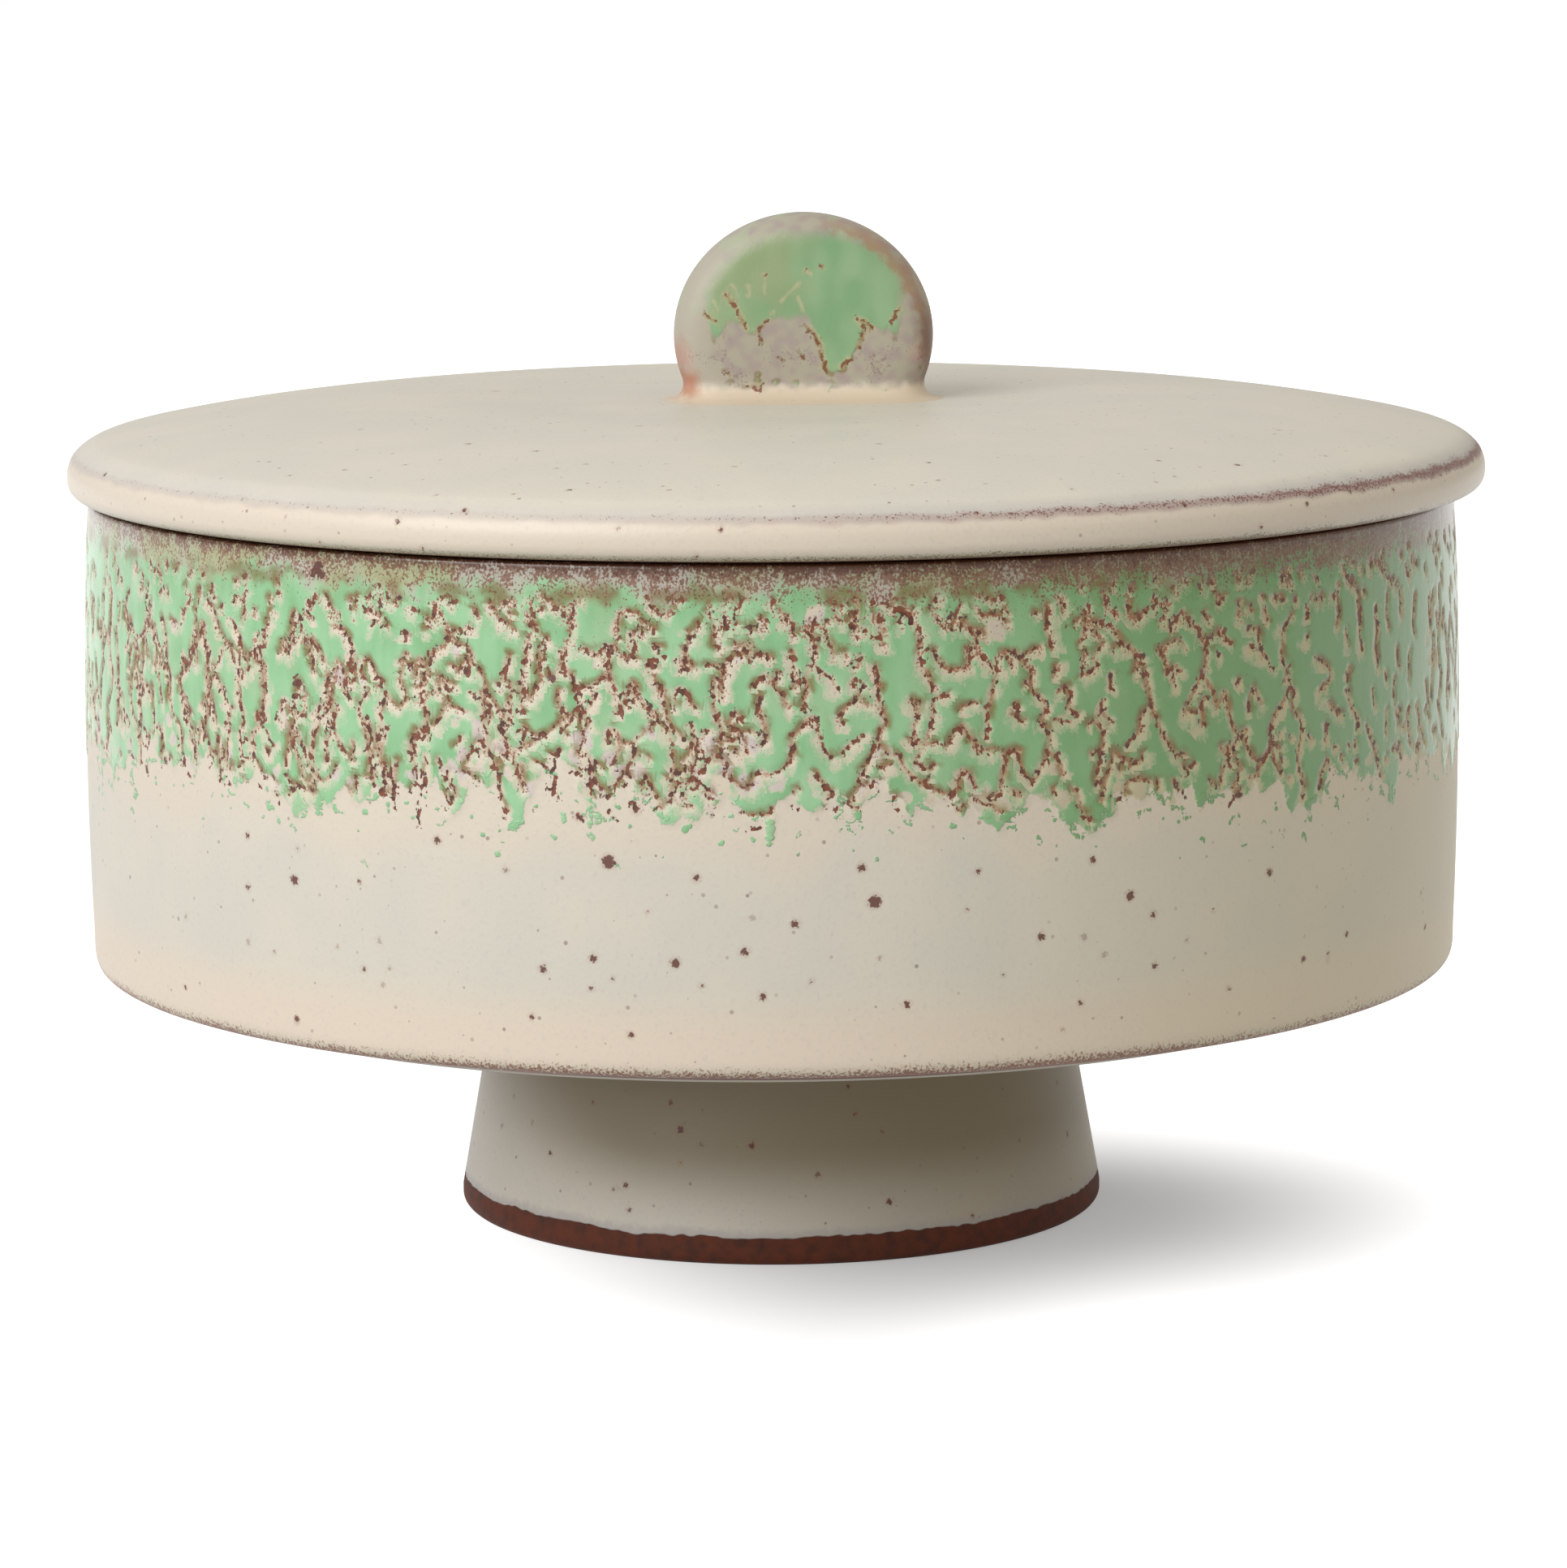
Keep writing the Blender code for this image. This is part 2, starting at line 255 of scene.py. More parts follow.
def bowl_profiles():
    """The outside from the lip down, the underside inwards, and the inside from the middle to the lip."""
    lip_z = LIP_TOP_Z - LIP_ROUNDING
    lip_middle = wall_radius(lip_z) - WALL / 2
    heel_top_z = FIRST_EDGE[1] + HEEL_RADIUS
    corner_z = FLOOR_Z + INNER_CORNER_RADIUS
    corner = (wall_radius(corner_z) - WALL - INNER_CORNER_RADIUS, corner_z)
    heel = (wall_radius(heel_top_z) - HEEL_RADIUS, heel_top_z)
    band = np.arange(lip_z, BAND_LOW, -0.3)
    below = np.linspace(band[-1], heel_top_z, 22)[1:-1]
    outside = arc((lip_middle, lip_z), (WALL / 2, LIP_ROUNDING), 90, 0, 8)
    outside += [(wall_radius(z), z) for z in [*band[1:], *below]]
    for turn in np.radians(np.linspace(0, 90, 15)):
        across, down = math.cos(turn) ** HEEL_POWER, math.sin(turn) ** HEEL_POWER
        outside.append((heel[0] + HEEL_RADIUS * across, heel[1] - HEEL_RADIUS * down))
    outside += [(FIRST_EDGE[0] - 0.1, FIRST_EDGE[1] - 0.12), (FIRST_EDGE[0] - 0.4, FIRST_EDGE[1] - 0.3)]
    outside += [SECOND_EDGE]
    underside = subdivided([SECOND_EDGE, (SECOND_EDGE[0] - 0.3, UNDERSIDE_Z), (0.0, UNDERSIDE_Z)], 2.0)
    inside = subdivided([(0.0, FLOOR_Z), (corner[0], FLOOR_Z)], 2.0)
    inside += arc(corner, (INNER_CORNER_RADIUS,) * 2, -90, 0, 12)[1:-1]
    inside += [(wall_radius(z) - WALL, z) for z in np.linspace(corner_z, lip_z, 30)[:-1]]
    inside += arc((lip_middle, lip_z), (WALL / 2, LIP_ROUNDING), 180, 90, 8)
    return outside, underside, inside


def crown_height(radius):
    """The height of the lid's top, with a slight dip round the knob and a fall to the shoulder."""
    fall = np.maximum(radius - LID_FLAT_RADIUS, 0) / (LID_SHOULDER[0] - LID_FLAT_RADIUS)
    out = np.clip((radius - LID_FLAT_RADIUS) / 18.0, 0, 1)
    dip = (LID_CROWN_Z - LID_CENTRE_Z) * (1 - out) ** 2 * (1 + 2 * out)
    return LID_CROWN_Z - dip - (LID_CROWN_Z - LID_SHOULDER[1]) * fall**3


def lid_profiles():
    """The top from the middle over the rim to the lower edge, and the underside back to the middle."""
    crown = [(r, float(crown_height(r))) for r in np.arange(0.0, LID_SHOULDER[0], 0.6)]
    edge = [crown[-1], (69.6, 80.2), (70.5, 79.8), (71.25, 79.3), (71.85, LID_ARRIS_Z), (72.15, 78.2)]
    edge += [(72.4, 77.5), (LID_RADIUS, 76.8), (72.42, 76.0), (72.15, 75.4), (71.6, 74.98), (70.8, 74.75)]
    edge += [(69.8, 74.66), (LID_SHOULDER[0], LID_SEAT_Z)]
    top = crown[:-1] + [(min(r, LID_RADIUS), z) for r, z in smooth_curve(edge, 0.3)]
    ring_z = RING_BOTTOM_Z + RING_ROUNDING
    under = subdivided([edge[-1], (RING_OUTER, LID_SEAT_Z), (RING_OUTER, ring_z)], 1.0)
    under += arc((RING_OUTER - RING_ROUNDING, ring_z), (RING_ROUNDING,) * 2, 0, -90, 5)[1:]
    under += arc((RING_INNER + RING_ROUNDING, ring_z), (RING_ROUNDING,) * 2, -90, -180, 5)
    under += subdivided([(RING_INNER, ring_z), (RING_INNER, LID_SEAT_Z)], 1.0)[1:]
    for share in np.linspace(1, 0, 30):
        under.append((LID_HOLLOW_RADIUS * share, LID_SEAT_Z + LID_HOLLOW_RISE * (1 - share**4)))
    return top, under


def foot_profile():
    """The foot from the outside's top down, under its base and up its inside."""
    inner_base = FOOT_BASE_RADIUS - FOOT_WALL
    inner_top = FOOT_TOP_RADIUS - FOOT_WALL
    low = FOOT_ROUNDING
    side = [(FOOT_TOP_RADIUS, FOOT_TOP_Z), (FOOT_BASE_RADIUS, FOOT_UPRIGHT_Z), (FOOT_BASE_RADIUS, low)]
    base = arc((FOOT_BASE_RADIUS - low, low), (low, low), 0, -90, 6)[1:]
    base += arc((inner_base + low, low), (low, low), -90, -180, 6)
    inner = subdivided([(inner_base, low), (inner_top, FOOT_TOP_Z)], 1.0)[1:]
    return subdivided(side, 0.4) + base + inner + [(FOOT_TOP_RADIUS, FOOT_TOP_Z)]


# Marks of the glaze, read off enlarged views of the photograph

# Specks, in the photograph's pixels: x, y, radius in mm and, where it is pale, how dark from 0 to 1
FRONT_SPECKS = """
363,1084,.5; 306,1093,.3; 305,1029,.3; 443,1086,.2; 539,1035,.35; 624,1072,.3,.6; 467,1159,.3,.35
449,1194,.22; 669,1194,.38; 366,1256,.4; 229,1217,.25; 656,1253,.25; 205,938,.3; 229,1130,.3,.35
306,1161,.3,.35; 472,1213,.3,.35; 127,967,.3,.35; 367,1045,.15; 339,1173,.12; 416,1166,.1; 480,1193,.1
181,947,.35; 366,841,.5; 680,835,.5; 750,1062,.7; 1078,1111,.65; 858,1082,.35; 1062,1069,.4; 1205,1074,.25
980,1139,.4; 731,1181,.4; 832,1186,.5; 918,1173,.4; 940,1228,.35; 1117,1237,.35; 778,1275,.3; 1084,1180,.12
1236,1201,.12; 756,1206,.15; 729,1218,.2; 865,1215,.18; 1000,1209,.15; 798,1124,.13; 1192,1120,.13
714,1007,.35; 784,997,.4; 927,1131,.3,.35; 1074,1292,.2; 1564,1075,.4; 1393,1103,.5; 1421,1127,.35
1346,1059,.35; 1283,1154,.4; 1336,1155,.35,.4; 1360,1176,.3,.4; 1423,1190,.3; 1462,1158,.12; 1606,1182,.35
1636,1175,.2; 1636,1185,.2; 1659,1151,.3; 1756,1142,.3; 1751,1100,.25,.4; 1570,1250,.3; 1514,1218,.2
1331,1236,.25; 1495,1121,.15; 1526,979,.4; 1313,771,.2; 1309,1268,.2,.4; 390,700,.55; 397,708,.5
386,708,.45; 394,695,.4
"""
LID_SPECKS = """
129,585,.3; 357,586,.2; 425,579,.2; 499,573,.2; 1145,570,.2; 1428,568,.2; 1525,573,.35; 661,556,.25
577,547,.25; 702,604,.25; 572,629,.22; 1204,632,.25; 1459,622,.2; 490,643,.24; 888,652,.2; 762,651,.1
1663,605,.24; 1610,621,.2; 1717,603,.2; 537,610,.15,.7; 633,609,.15; 824,604,.15; 1156,592,.15; 1447,587,.15
1424,594,.12; 1321,603,.15; 1633,562,.15; 1554,649,.2; 393,671,.15; 519,678,.15; 858,688,.2; 445,529,.35,.35
686,577,.3,.35; 722,572,.3,.35; 787,525,.4,.35; 905,575,.3,.35; 1083,547,.35,.35; 1576,530,.35,.35
611,482,.5,.35
"""
FOOT_SPECKS = """
839,1392,.4; 927,1411,.35; 772,1461,.3; 1096,1481,.35; 1008,1448,.3,.7; 1315,1397,.3; 619,1387,.3,.4
827,1359,.28,.8; 678,1421,.22; 1198,1498,.25; 776,1491,.22; 1045,1338,.2; 1302,1334,.25,.6; 1235,1342,.22,.5
1256,1405,.22,.5; 731,1359,.18; 634,1350,.22,.5; 864,1410,.25,.5; 1053,1372,.18; 1087,1394,.18,.6
756,1465,.15; 839,1433,.15; 1309,1476,.15; 656,1383,.18,.5
"""

# The knob's green cover as an outline, its brown lines and the drops under it, in the photograph's pixels.
# Of the lines, + is a strong one, - a thin one, and ~ a pale streak without brown.
KNOB_COVER = """
868,356 882,334 900,316 919,302 954,288 1008,284 1048,289 1088,308 1109,332 1116,352 1112,380 1108,405
1103,417 1097,405 1088,410 1078,402 1064,412 1052,437 1040,455 1025,460 1015,448 1009,425 994,393 975,394
948,396 935,402 926,412 915,401 897,400 889,414 882,421 875,406 868,385
"""
KNOB_LINES = """
894,363 901,372 908,382 914,394 919,404; 868,388 875,392 882,396; -946,394 936,408 938,424
+992,401 1008,420 1013,436 1018,455; +1037,452 1045,444; 1059,428 1064,412 1062,395
1056,393 1066,396 1075,404; 1099,396 1108,380; 993,333 993,334; -1012,328 1013,329; -943,340 943,342
892,456 899,462; +917,476 937,477; ~994,334 1000,338; ~984,348 962,372; ~984,367 990,383; ~943,342 942,361
~922,352 923,364; ~954,384; ~880,372 884,380; ~902,352 911,366; -960,440 966,444; -985,436 990,441
"""
KNOB_DROPS = "899,472 934,463 957,472 982,474 1022,480 1090,480 934,470 1024,474"

# Three enlarged views of the wall's front, each with its left and top edge in the photograph and its
# enlargement. The texts below are in their pixels, one text to a view.
WALL_VIEWS = ((100, 720, 2.613), (620, 720, 2.613), (1200, 720, 2.57))
# Brown lines, each through some points: + is a strong one, - a thin one, and * an eye with a wide halo
FRONT_MARKS = (
"""
-100,30 97,130 95,220 100,290 90,370 85,440; -155,10 145,60 138,110; 222,60 219,100 215,140 192,170 176,190
-235,140 250,200 262,250 275,280; -190,235 166,280 160,330; -175,440 195,495 212,512 222,470
295,118 310,133; -350,30 340,70 330,100; -385,10 374,80 370,160; +408,45 430,100 445,160 465,200 490,218
+405,140 405,200 410,260 411,330 420,390 405,430 401,505; 405,142 385,180 370,230 345,270 322,298
+484,116 515,170 525,220 548,278; 535,30 530,80 530,130; +600,115 590,170 585,230 590,300 590,360 592,430
+683,97 672,150 684,174 650,205 640,215; +739,52 740,75; *740,108; *603,84; 598,42 601,50
+790,38 805,65 825,92; +745,170 760,205 776,246; *928,92 955,96; *980,122
+815,142 850,160 875,182 879,225 864,250; *1045,160; 1055,68 1062,72; *695,315; +462,345 470,380 481,412
672,420 710,416; 632,436 642,446; +808,320 795,380 780,420 765,460 750,520 745,585
-745,585 752,622 790,634 820,580; 790,450 815,490 852,532; +918,346 905,400 915,450 925,510 930,570 936,625
936,625 960,662 1000,676; -1000,676 1009,610 1020,567; 868,312 878,322; 864,360 868,364; 945,330 970,310
-905,290 920,302; 1085,236 1065,255 1036,256 1030,300 1036,345; 985,350 1005,381 1024,396 1046,364
+1130,52 1150,85 1176,140 1163,188 1130,226; +1130,226 1110,280 1095,325 1076,331
1182,150 1211,180 1244,191 1250,245; *1245,135; 1192,258 1208,262; 1256,345 1264,350
+1320,60 1330,110 1355,140 1382,156; *1390,95; 1150,300 1180,305 1202,326; +1095,345 1106,374 1084,386
+1175,366 1165,410 1150,440 1120,460 1095,476 1080,512 1072,558; 1178,372 1187,396 1220,400 1250,411
+1290,272 1310,320 1330,360 1352,400 1394,438; 1300,360 1295,420 1305,470 1316,492; -1215,480 1195,503
1262,530 1278,540; 1236,602 1246,610; -1140,555 1150,592; 1172,628 1200,656 1206,685; +1016,585 1000,655
-580,450 601,471 626,512; 575,455 560,500 555,560 540,579 521,560 515,490; 672,500 665,540 655,575
-676,500 690,540 711,622; -330,340 345,400 350,450 356,500 385,545; 424,540 427,550; *275,570
206,586 214,594; +636,684 645,696; 482,480 475,530 466,600; -880,620 886,680; -620,625 635,641
655,600 680,640 692,662; -250,240 255,320 262,380; -150,300 165,420; -206,180 216,242; -130,330 136,420
-290,300 283,360 300,420; -232,330 240,420 236,470; -60,60 57,150; -50,230 56,330; -125,50 120,120
""",
"""
97,50 100,90 95,130 103,160; +72,175 70,230 66,300 72,360 84,410; 222,60 216,120 212,190 203,215 190,232
+190,232 200,260 225,300 243,338 238,400 252,428; 243,336 270,326 300,315 325,295 344,272
+344,212 340,270 350,330 358,360; 250,216 270,226 297,244 303,250 320,214 344,205
+420,320 396,350 386,395 366,416; 425,330 445,365 455,400 470,430 490,441; *158,300; *130,75; 30,98 38,98
45,48 47,55; 12,140 20,158; 140,178 148,198; 162,44 181,70; 380,110 372,150 370,182; +400,96 430,100
444,168 447,172; 486,200 500,204; 514,236 523,240; 390,240 430,245; +478,84 495,101
+600,205 605,240 616,266; 604,149 606,151; 690,120 701,140 690,160 706,201; 726,100 731,142
+750,195 778,218; +772,240 742,236 720,250 715,290 705,355; -662,256 690,262 701,286
+826,118 842,126 852,151; 885,90 925,115 940,150; +832,226 870,236; +820,332 840,296 866,301
866,301 881,335 905,370 916,390; +832,365 828,400 835,450 841,490 830,511; +735,442 744,402 765,415
+935,215 941,260 950,300 940,330; 944,150 950,156; 1010,250 990,290 975,345 960,392
+1003,135 1010,180 1016,226; -1000,131 1040,141 1055,180 1066,232; 1015,250 1035,290 1060,320 1076,336
+1130,45 1125,100 1127,150 1131,166; +1213,90 1215,130 1218,165 1225,190
+1240,50 1275,70 1300,90 1325,125 1345,156; +1345,156 1355,190 1350,230 1355,270 1370,310 1386,346
1156,215 1150,240 1130,266; +1190,265 1205,310 1215,360 1226,402; +1226,402 1225,440 1210,490
1210,490 1195,530 1180,570 1160,600 1145,620; 1158,318 1140,350 1115,380 1095,401 1085,420; *1095,438
1162,368 1170,373; 1167,470 1130,490 1110,510 1101,540; -1216,500 1240,530 1246,552
+985,426 960,460 945,490 941,540; 941,540 928,565 900,590 860,605 824,606
1000,421 1012,450 1030,490 1045,530 1056,556; +1045,632 1064,655 1060,680; 1325,380 1330,412
1343,388 1331,440 1345,500 1366,500 1380,440 1386,380; -1315,500 1350,521 1400,502; 1393,376 1430,366
1398,220 1410,250 1436,281 1475,276 1501,250; 1501,250 1530,214 1524,190 1511,150
1530,214 1545,250 1562,272; +1462,55 1455,110 1450,142; 1518,380 1490,386 1474,402
1480,456 1460,480 1440,521; +1486,456 1510,480 1531,511 1566,531; +1496,588 1476,610 1470,641 1455,672
1497,588 1507,600 1516,630 1521,661; 1278,552 1300,590 1330,625 1380,655 1430,677
1350,545 1345,570 1366,590; -1215,636 1165,641 1135,670 1115,700 1070,721 1040,716
496,345 516,351 520,400 530,440 555,480 571,502; -490,425 500,450; 652,470 625,490 600,496 590,540 581,570
-605,585 560,616; -808,462 770,475 740,496 690,502; 80,450 96,480 130,486 166,470 206,444 216,434
2,525 40,536 80,520 120,500; 164,541 176,548; 105,570 130,585 160,610 175,625; -60,590 65,620 76,652
-247,430 250,470 250,520 245,562; 290,590 310,630 341,661; 420,516 385,518 360,545 345,580
420,516 450,490 481,464; 464,560 466,564; +465,625 480,650 510,690; 408,622 414,630; +420,710 440,730
-530,625 560,655 545,690 520,711; +650,676 662,688; -590,702 620,706; -640,600 600,630 562,645
+240,745 256,761; -776,735 820,746 856,736 866,716; 796,786 820,784; 1254,684 1259,690; +640,640 670,676
700,575 712,590; 740,530 746,548; 660,560 684,573; 735,640 760,655; -1130,300 1120,330
""",
"""
+25,95 65,100; 10,150 18,160; +282,30 285,70; 240,60 226,110 240,160 251,200; 160,216 186,204 200,195
350,100 345,150 333,192; +348,130 375,116 410,125 440,140 465,185 500,220 531,241; +384,150 396,160
405,190 382,226 388,265 346,286; +425,70 450,80; 510,125 530,95 560,80; 592,58 601,44 608,58
+660,78 641,100 626,132; 665,85 690,115 710,130 722,166; +728,175 730,210 725,262
+735,165 760,155 786,140 800,160 816,171; +835,45 832,100; +875,130 905,141; 905,141 910,190 930,240
1002,100 981,135 975,190 975,240; +1048,70 1050,108; *1055,170; 1150,20 1150,80 1145,130
+1225,30 1225,90 1222,140 1225,200; +1275,75 1275,130 1270,190 1270,260; -1310,30 1305,90 1310,140
-1345,20 1350,90; 1395,30 1390,100 1395,150; -1440,40 1445,130; -1475,60 1470,170 1476,240; 776,206 784,214
744,103 747,107; 612,272 640,260 661,276; +636,275 632,312; -604,216 610,190 650,166 661,182
+716,285 690,340 670,380 665,401; +718,290 745,330 756,370; +715,360 712,400 712,446; *680,408
791,330 771,370 765,386; 795,335 801,390 811,440 830,470 861,465; *840,295; 878,186 882,192; 934,266 937,271
-887,330 861,370 855,401; -890,340 906,381; 985,310 990,272 1001,264
1001,264 1000,300 1010,340 1020,390 1036,432; +1036,432 1035,480 1030,520 1030,570 1045,620 1046,670
1000,330 976,380 955,420 940,460; 940,460 950,500 930,550 906,601; 1085,245 1120,265 1125,300 1101,331
+1130,370 1146,395 1161,421; +1115,440 1115,490; +1185,340 1196,380 1210,420 1211,461; *1186,270 1181,300
1256,340 1261,390; 1300,280 1301,311; 1240,450 1261,500 1280,570 1286,601; -1305,400 1301,470
+1,205 25,225 31,250; +65,258 60,300 50,350 45,400 38,472; 66,255 85,212 120,210 150,240 176,260
+176,260 181,300 190,340 216,356 228,376; 258,250 254,281; +228,376 220,430 235,470 226,520 215,560 200,590
200,590 168,632; +262,340 292,320 304,360 299,388 324,408; -300,430 262,425; 155,303 157,308
+132,368 138,380; 134,406 160,436; +428,285 432,317; +544,270 550,320 555,372
555,372 580,420 601,470 626,510; 626,510 650,560 681,612; +553,376 531,410 520,450 501,490 490,516
362,442 373,430 395,470 401,520 390,570 385,622; +405,370 400,400 416,430 421,451; +90,536 112,528 135,525
95,540 85,600 75,660 50,681; -125,535 140,600 151,621; 0,490 20,521 56,516; +444,536 426,590 415,640 405,690
450,540 490,561; +500,578 520,568; -510,625 490,630 480,661; -520,625 556,630; +325,660 335,700 370,742
+115,662 140,684; 255,545 275,600; -236,540 246,560; +846,480 830,490 810,520 800,560 790,600 780,641
855,480 870,520 886,551; -835,540 851,591; +815,690 838,666 856,650; 948,486 935,530 911,580
950,500 960,560 976,606; 1110,550 1095,590 1090,650; -1115,550 1131,600; 1155,540 1158,548
1210,558 1212,566; 1203,634 1208,639; 1350,400 1345,440; +1345,490 1351,541; 1400,380 1411,440
1424,478 1430,490; -1435,545 1432,560; 640,630 650,650 681,681; -0,690 40,700 80,730; 1340,200 1346,250
-1380,200 1376,300; 1430,310 1440,380; -1476,300 1470,350; -1370,420 1376,470; -1500,200 1498,300
1180,150 1184,190; -1330,300 1326,360
""",
)
# The lower edge of the green sheet
FRONT_FRINGE = (
"""
20,520; 60,540; 120,560; 160,590; 200,530; 240,560; 280,560; 330,560; 360,600; 400,590; 440,610; 480,620
500,645; 540,640; 570,600; 610,680; 650,690; 700,705; 730,690; 770,720; 800,700; 850,650; 900,710; 930,710
960,680; 1000,680; 1040,640; 1090,640; 1130,680; 1170,690; 1220,730; 1250,640; 1300,620; 1350,650
""",
"""
0,700; 45,785; 90,700; 110,640; 150,600; 200,600; 230,640; 285,760; 300,700; 350,670; 390,640; 430,680
480,700; 520,755; 560,770; 600,770; 640,720; 700,680; 740,700; 790,740; 830,740; 860,840; 885,700; 920,690
960,720; 1010,730; 1060,720; 1100,690; 1130,740; 1160,680; 1200,660; 1260,660; 1300,700; 1340,700; 1400,690
1450,700; 1480,740; 1510,690
""",
"""
2,700; 40,740; 95,760; 130,730; 170,690; 220,690; 260,690; 310,740; 350,760; 390,765; 420,720; 460,680
520,650; 560,660; 600,665; 650,710; 690,690; 730,700; 770,670; 820,680; 880,640; 930,620; 980,640; 1030,690
1065,705; 1100,680; 1130,600; 1180,590; 1240,620; 1290,640; 1325,690; 1345,580; 1400,570; 1450,580; 1472,610
1500,560
""",
)
# Pale places among the green: x, y and reach
FRONT_PALE = (
"""
220,110,32; 232,140,26; 300,135,24; 840,292,34; 800,296,24; 480,470,24; 484,510,24; 482,550,22; 670,450,32
1290,470,48; 1340,520,44; 1230,540,40; 1180,600,46; 1290,580,36; 820,610,26; 290,440,28; 300,500,30
240,500,26; 1215,220,30; 865,240,24; 905,300,24; 1200,440,24; 1240,620,40; 640,600,30; 620,650,28
870,650,36; 1070,610,30; 760,660,30; 160,520,34; 360,590,34
""",
"""
250,560,44; 255,500,36; 262,610,46; 60,590,30; 20,600,40; 150,610,44; 400,610,44; 440,590,36; 660,540,44
740,560,44; 790,530,38; 700,640,54; 640,620,46; 790,640,40; 880,650,36; 900,620,30; 1240,590,38; 1230,540,28
1180,655,36; 1500,630,26; 560,680,36; 340,560,30; 1000,100,34; 1290,690,26; 1080,690,20; 480,480,24
110,650,44; 330,690,40; 1380,690,30; 750,240,20
""",
"""
75,140,40; 30,160,30; 545,310,26; 250,580,26; 520,650,44; 460,660,28; 890,620,36; 650,660,34; 1170,580,34
1420,550,44; 400,410,24; 625,300,22; 30,680,44; 90,700,34; 190,690,44; 290,680,30; 860,510,22; 945,560,28
720,410,24; 120,400,26; 380,150,30; 420,140,24; 1100,620,30; 1250,560,28; 280,430,28; 1200,620,30
600,700,40; 1470,560,30; 1350,560,26
""",
)
# Green that hangs below the fringe: x, y and reach
FRONT_DROPS = (
"""
615,718,13; 640,765,10; 640,773,6; 820,735,9; 760,744,11; 775,747,8; 910,741,14; 985,736,6; 1072,745,8
1086,740,5; 450,680,6; 242,632,8; 240,612,6; 165,600,7; 1345,868,13; 1345,800,7; 1290,814,9; 530,700,6
545,716,6; 604,660,9; 720,690,12; 372,618,6; 1222,700,10; 1252,748,7; 985,700,10; 955,680,12; 780,700,13
500,630,16; 520,638,12; 330,640,6; 300,650,5; 840,742,5; 890,800,5
""",
"""
45,770,18; 28,778,9; 62,766,9; 195,745,9; 196,765,10; 206,675,5; 285,815,12; 290,828,8; 405,790,7; 170,826,9
160,818,5; 580,776,14; 600,768,9; 720,830,9; 712,826,4; 858,770,18; 860,795,20; 860,820,18; 862,838,12
955,804,6; 950,872,5; 1120,860,5; 1135,738,14; 1135,750,12; 1092,796,6; 1112,802,6; 1150,788,6; 1128,815,4
1236,790,5; 1245,800,5; 1284,770,7; 1302,778,7; 1306,745,6; 1445,775,11; 1455,778,8; 1485,829,4; 1200,884,9
500,880,4; 530,748,12; 515,738,11; 500,722,9; 310,780,9; 330,772,8; 350,762,7; 290,690,8; 288,720,8
288,750,9; 286,780,9; 1480,720,14; 1478,735,8; 810,820,9; 800,808,5; 660,735,5; 745,745,8; 100,700,9
""",
"""
97,742,18; 80,744,12; 115,740,12; 125,785,5; 205,803,8; 258,744,8; 264,830,4; 330,800,10; 350,800,8
316,795,5; 390,722,24; 380,700,24; 400,712,20; 388,836,4; 520,755,4; 600,735,5; 675,748,8; 690,745,6
650,752,7; 735,680,22; 730,690,18; 812,745,8; 820,728,7; 838,722,6; 960,710,9; 962,696,6; 970,775,5
984,798,4; 950,826,4; 1065,742,12; 1050,744,7; 1065,690,24; 1080,680,18; 1140,680,6; 1150,690,5; 1168,676,7
1190,755,4; 1250,742,5; 1268,836,6; 1324,640,12; 1326,665,9; 1328,685,7; 1472,595,8; 1472,610,7; 655,865,4
450,692,8; 446,705,6; 360,765,9; 385,770,9; 410,762,7; 310,760,7; 665,718,7; 656,706,6; 760,690,10
""",
)


# Glaze marks: lines and dots in mm round and up the wall, drawn on a grid that is blurred into soft fields


class Sheet:
    """The wall unrolled, as a grid once round the dish. Along is 0 at the front and grows to the right."""

    def __init__(self, columns, low, high, step):
        self.pitch = ROUND_WALL / columns
        self.low, self.step = low, step
        self.shape = (round((high - low) / step), columns)
        self.along = (np.arange(columns) - columns / 2) * self.pitch
        self.z = low + step * np.arange(self.shape[0])

    def blurred(self, grid, across, up):
        """The grid, softened by so many mm each way."""
        rows = np.fft.fftfreq(self.shape[0], self.step)[:, None] * up
        columns = np.fft.rfftfreq(self.shape[1], self.pitch)[None, :] * across
        kept = np.exp(-2 * (math.pi * np.hypot(rows, columns)) ** 2)
        return np.fft.irfft2(np.fft.rfft2(grid) * kept, self.shape)

    def cloud(self, random, across, up):
        """Soft random waves of that size, with a spread of 1."""
        grid = self.blurred(random.standard_normal(self.shape), across, up)
        return grid / grid.std()

    def read(self, grid, along, z):
        """The grid's values at places, interpolated."""
        column = along / self.pitch + self.shape[1] / 2
        row = np.clip((z - self.low) / self.step, 0, self.shape[0] - 1.001)
        left, below = np.floor(column).astype(int), np.floor(row).astype(int)
        value = 0.0
        for right in (0, 1):
            for up in (0, 1):
                share = np.abs(1 - right - (column - left)) * np.abs(1 - up - (row - below))
                value = value + share * grid[below + up, (left + right) % self.shape[1]]
        return value


def outside_wall(radius, z):
    """Below 0 inside the bowl's round, as struck asks."""
    return radius - wall_radius(z)


def on_wall(view, x, y):
    """The way round and up the wall of a point in an enlarged view."""
    left, top, scale = view
    place = struck(left + x / scale, top + y / scale, outside_wall, BOWL_SHIFT_X)
    if place is None:
        return None
    return math.atan2(place[0] - BOWL_SHIFT_X, -place[1]) * BELLY_RADIUS, place[2]


def items(text):
    """The parts of a text that semicolons or line ends keep apart."""
    return [item.strip() for item in text.replace("\n", ";").split(";") if item.strip()]


def numbers(item):
    """The numbers of an item such as 12,34."""
    return [float(number) for number in item.split(",")]


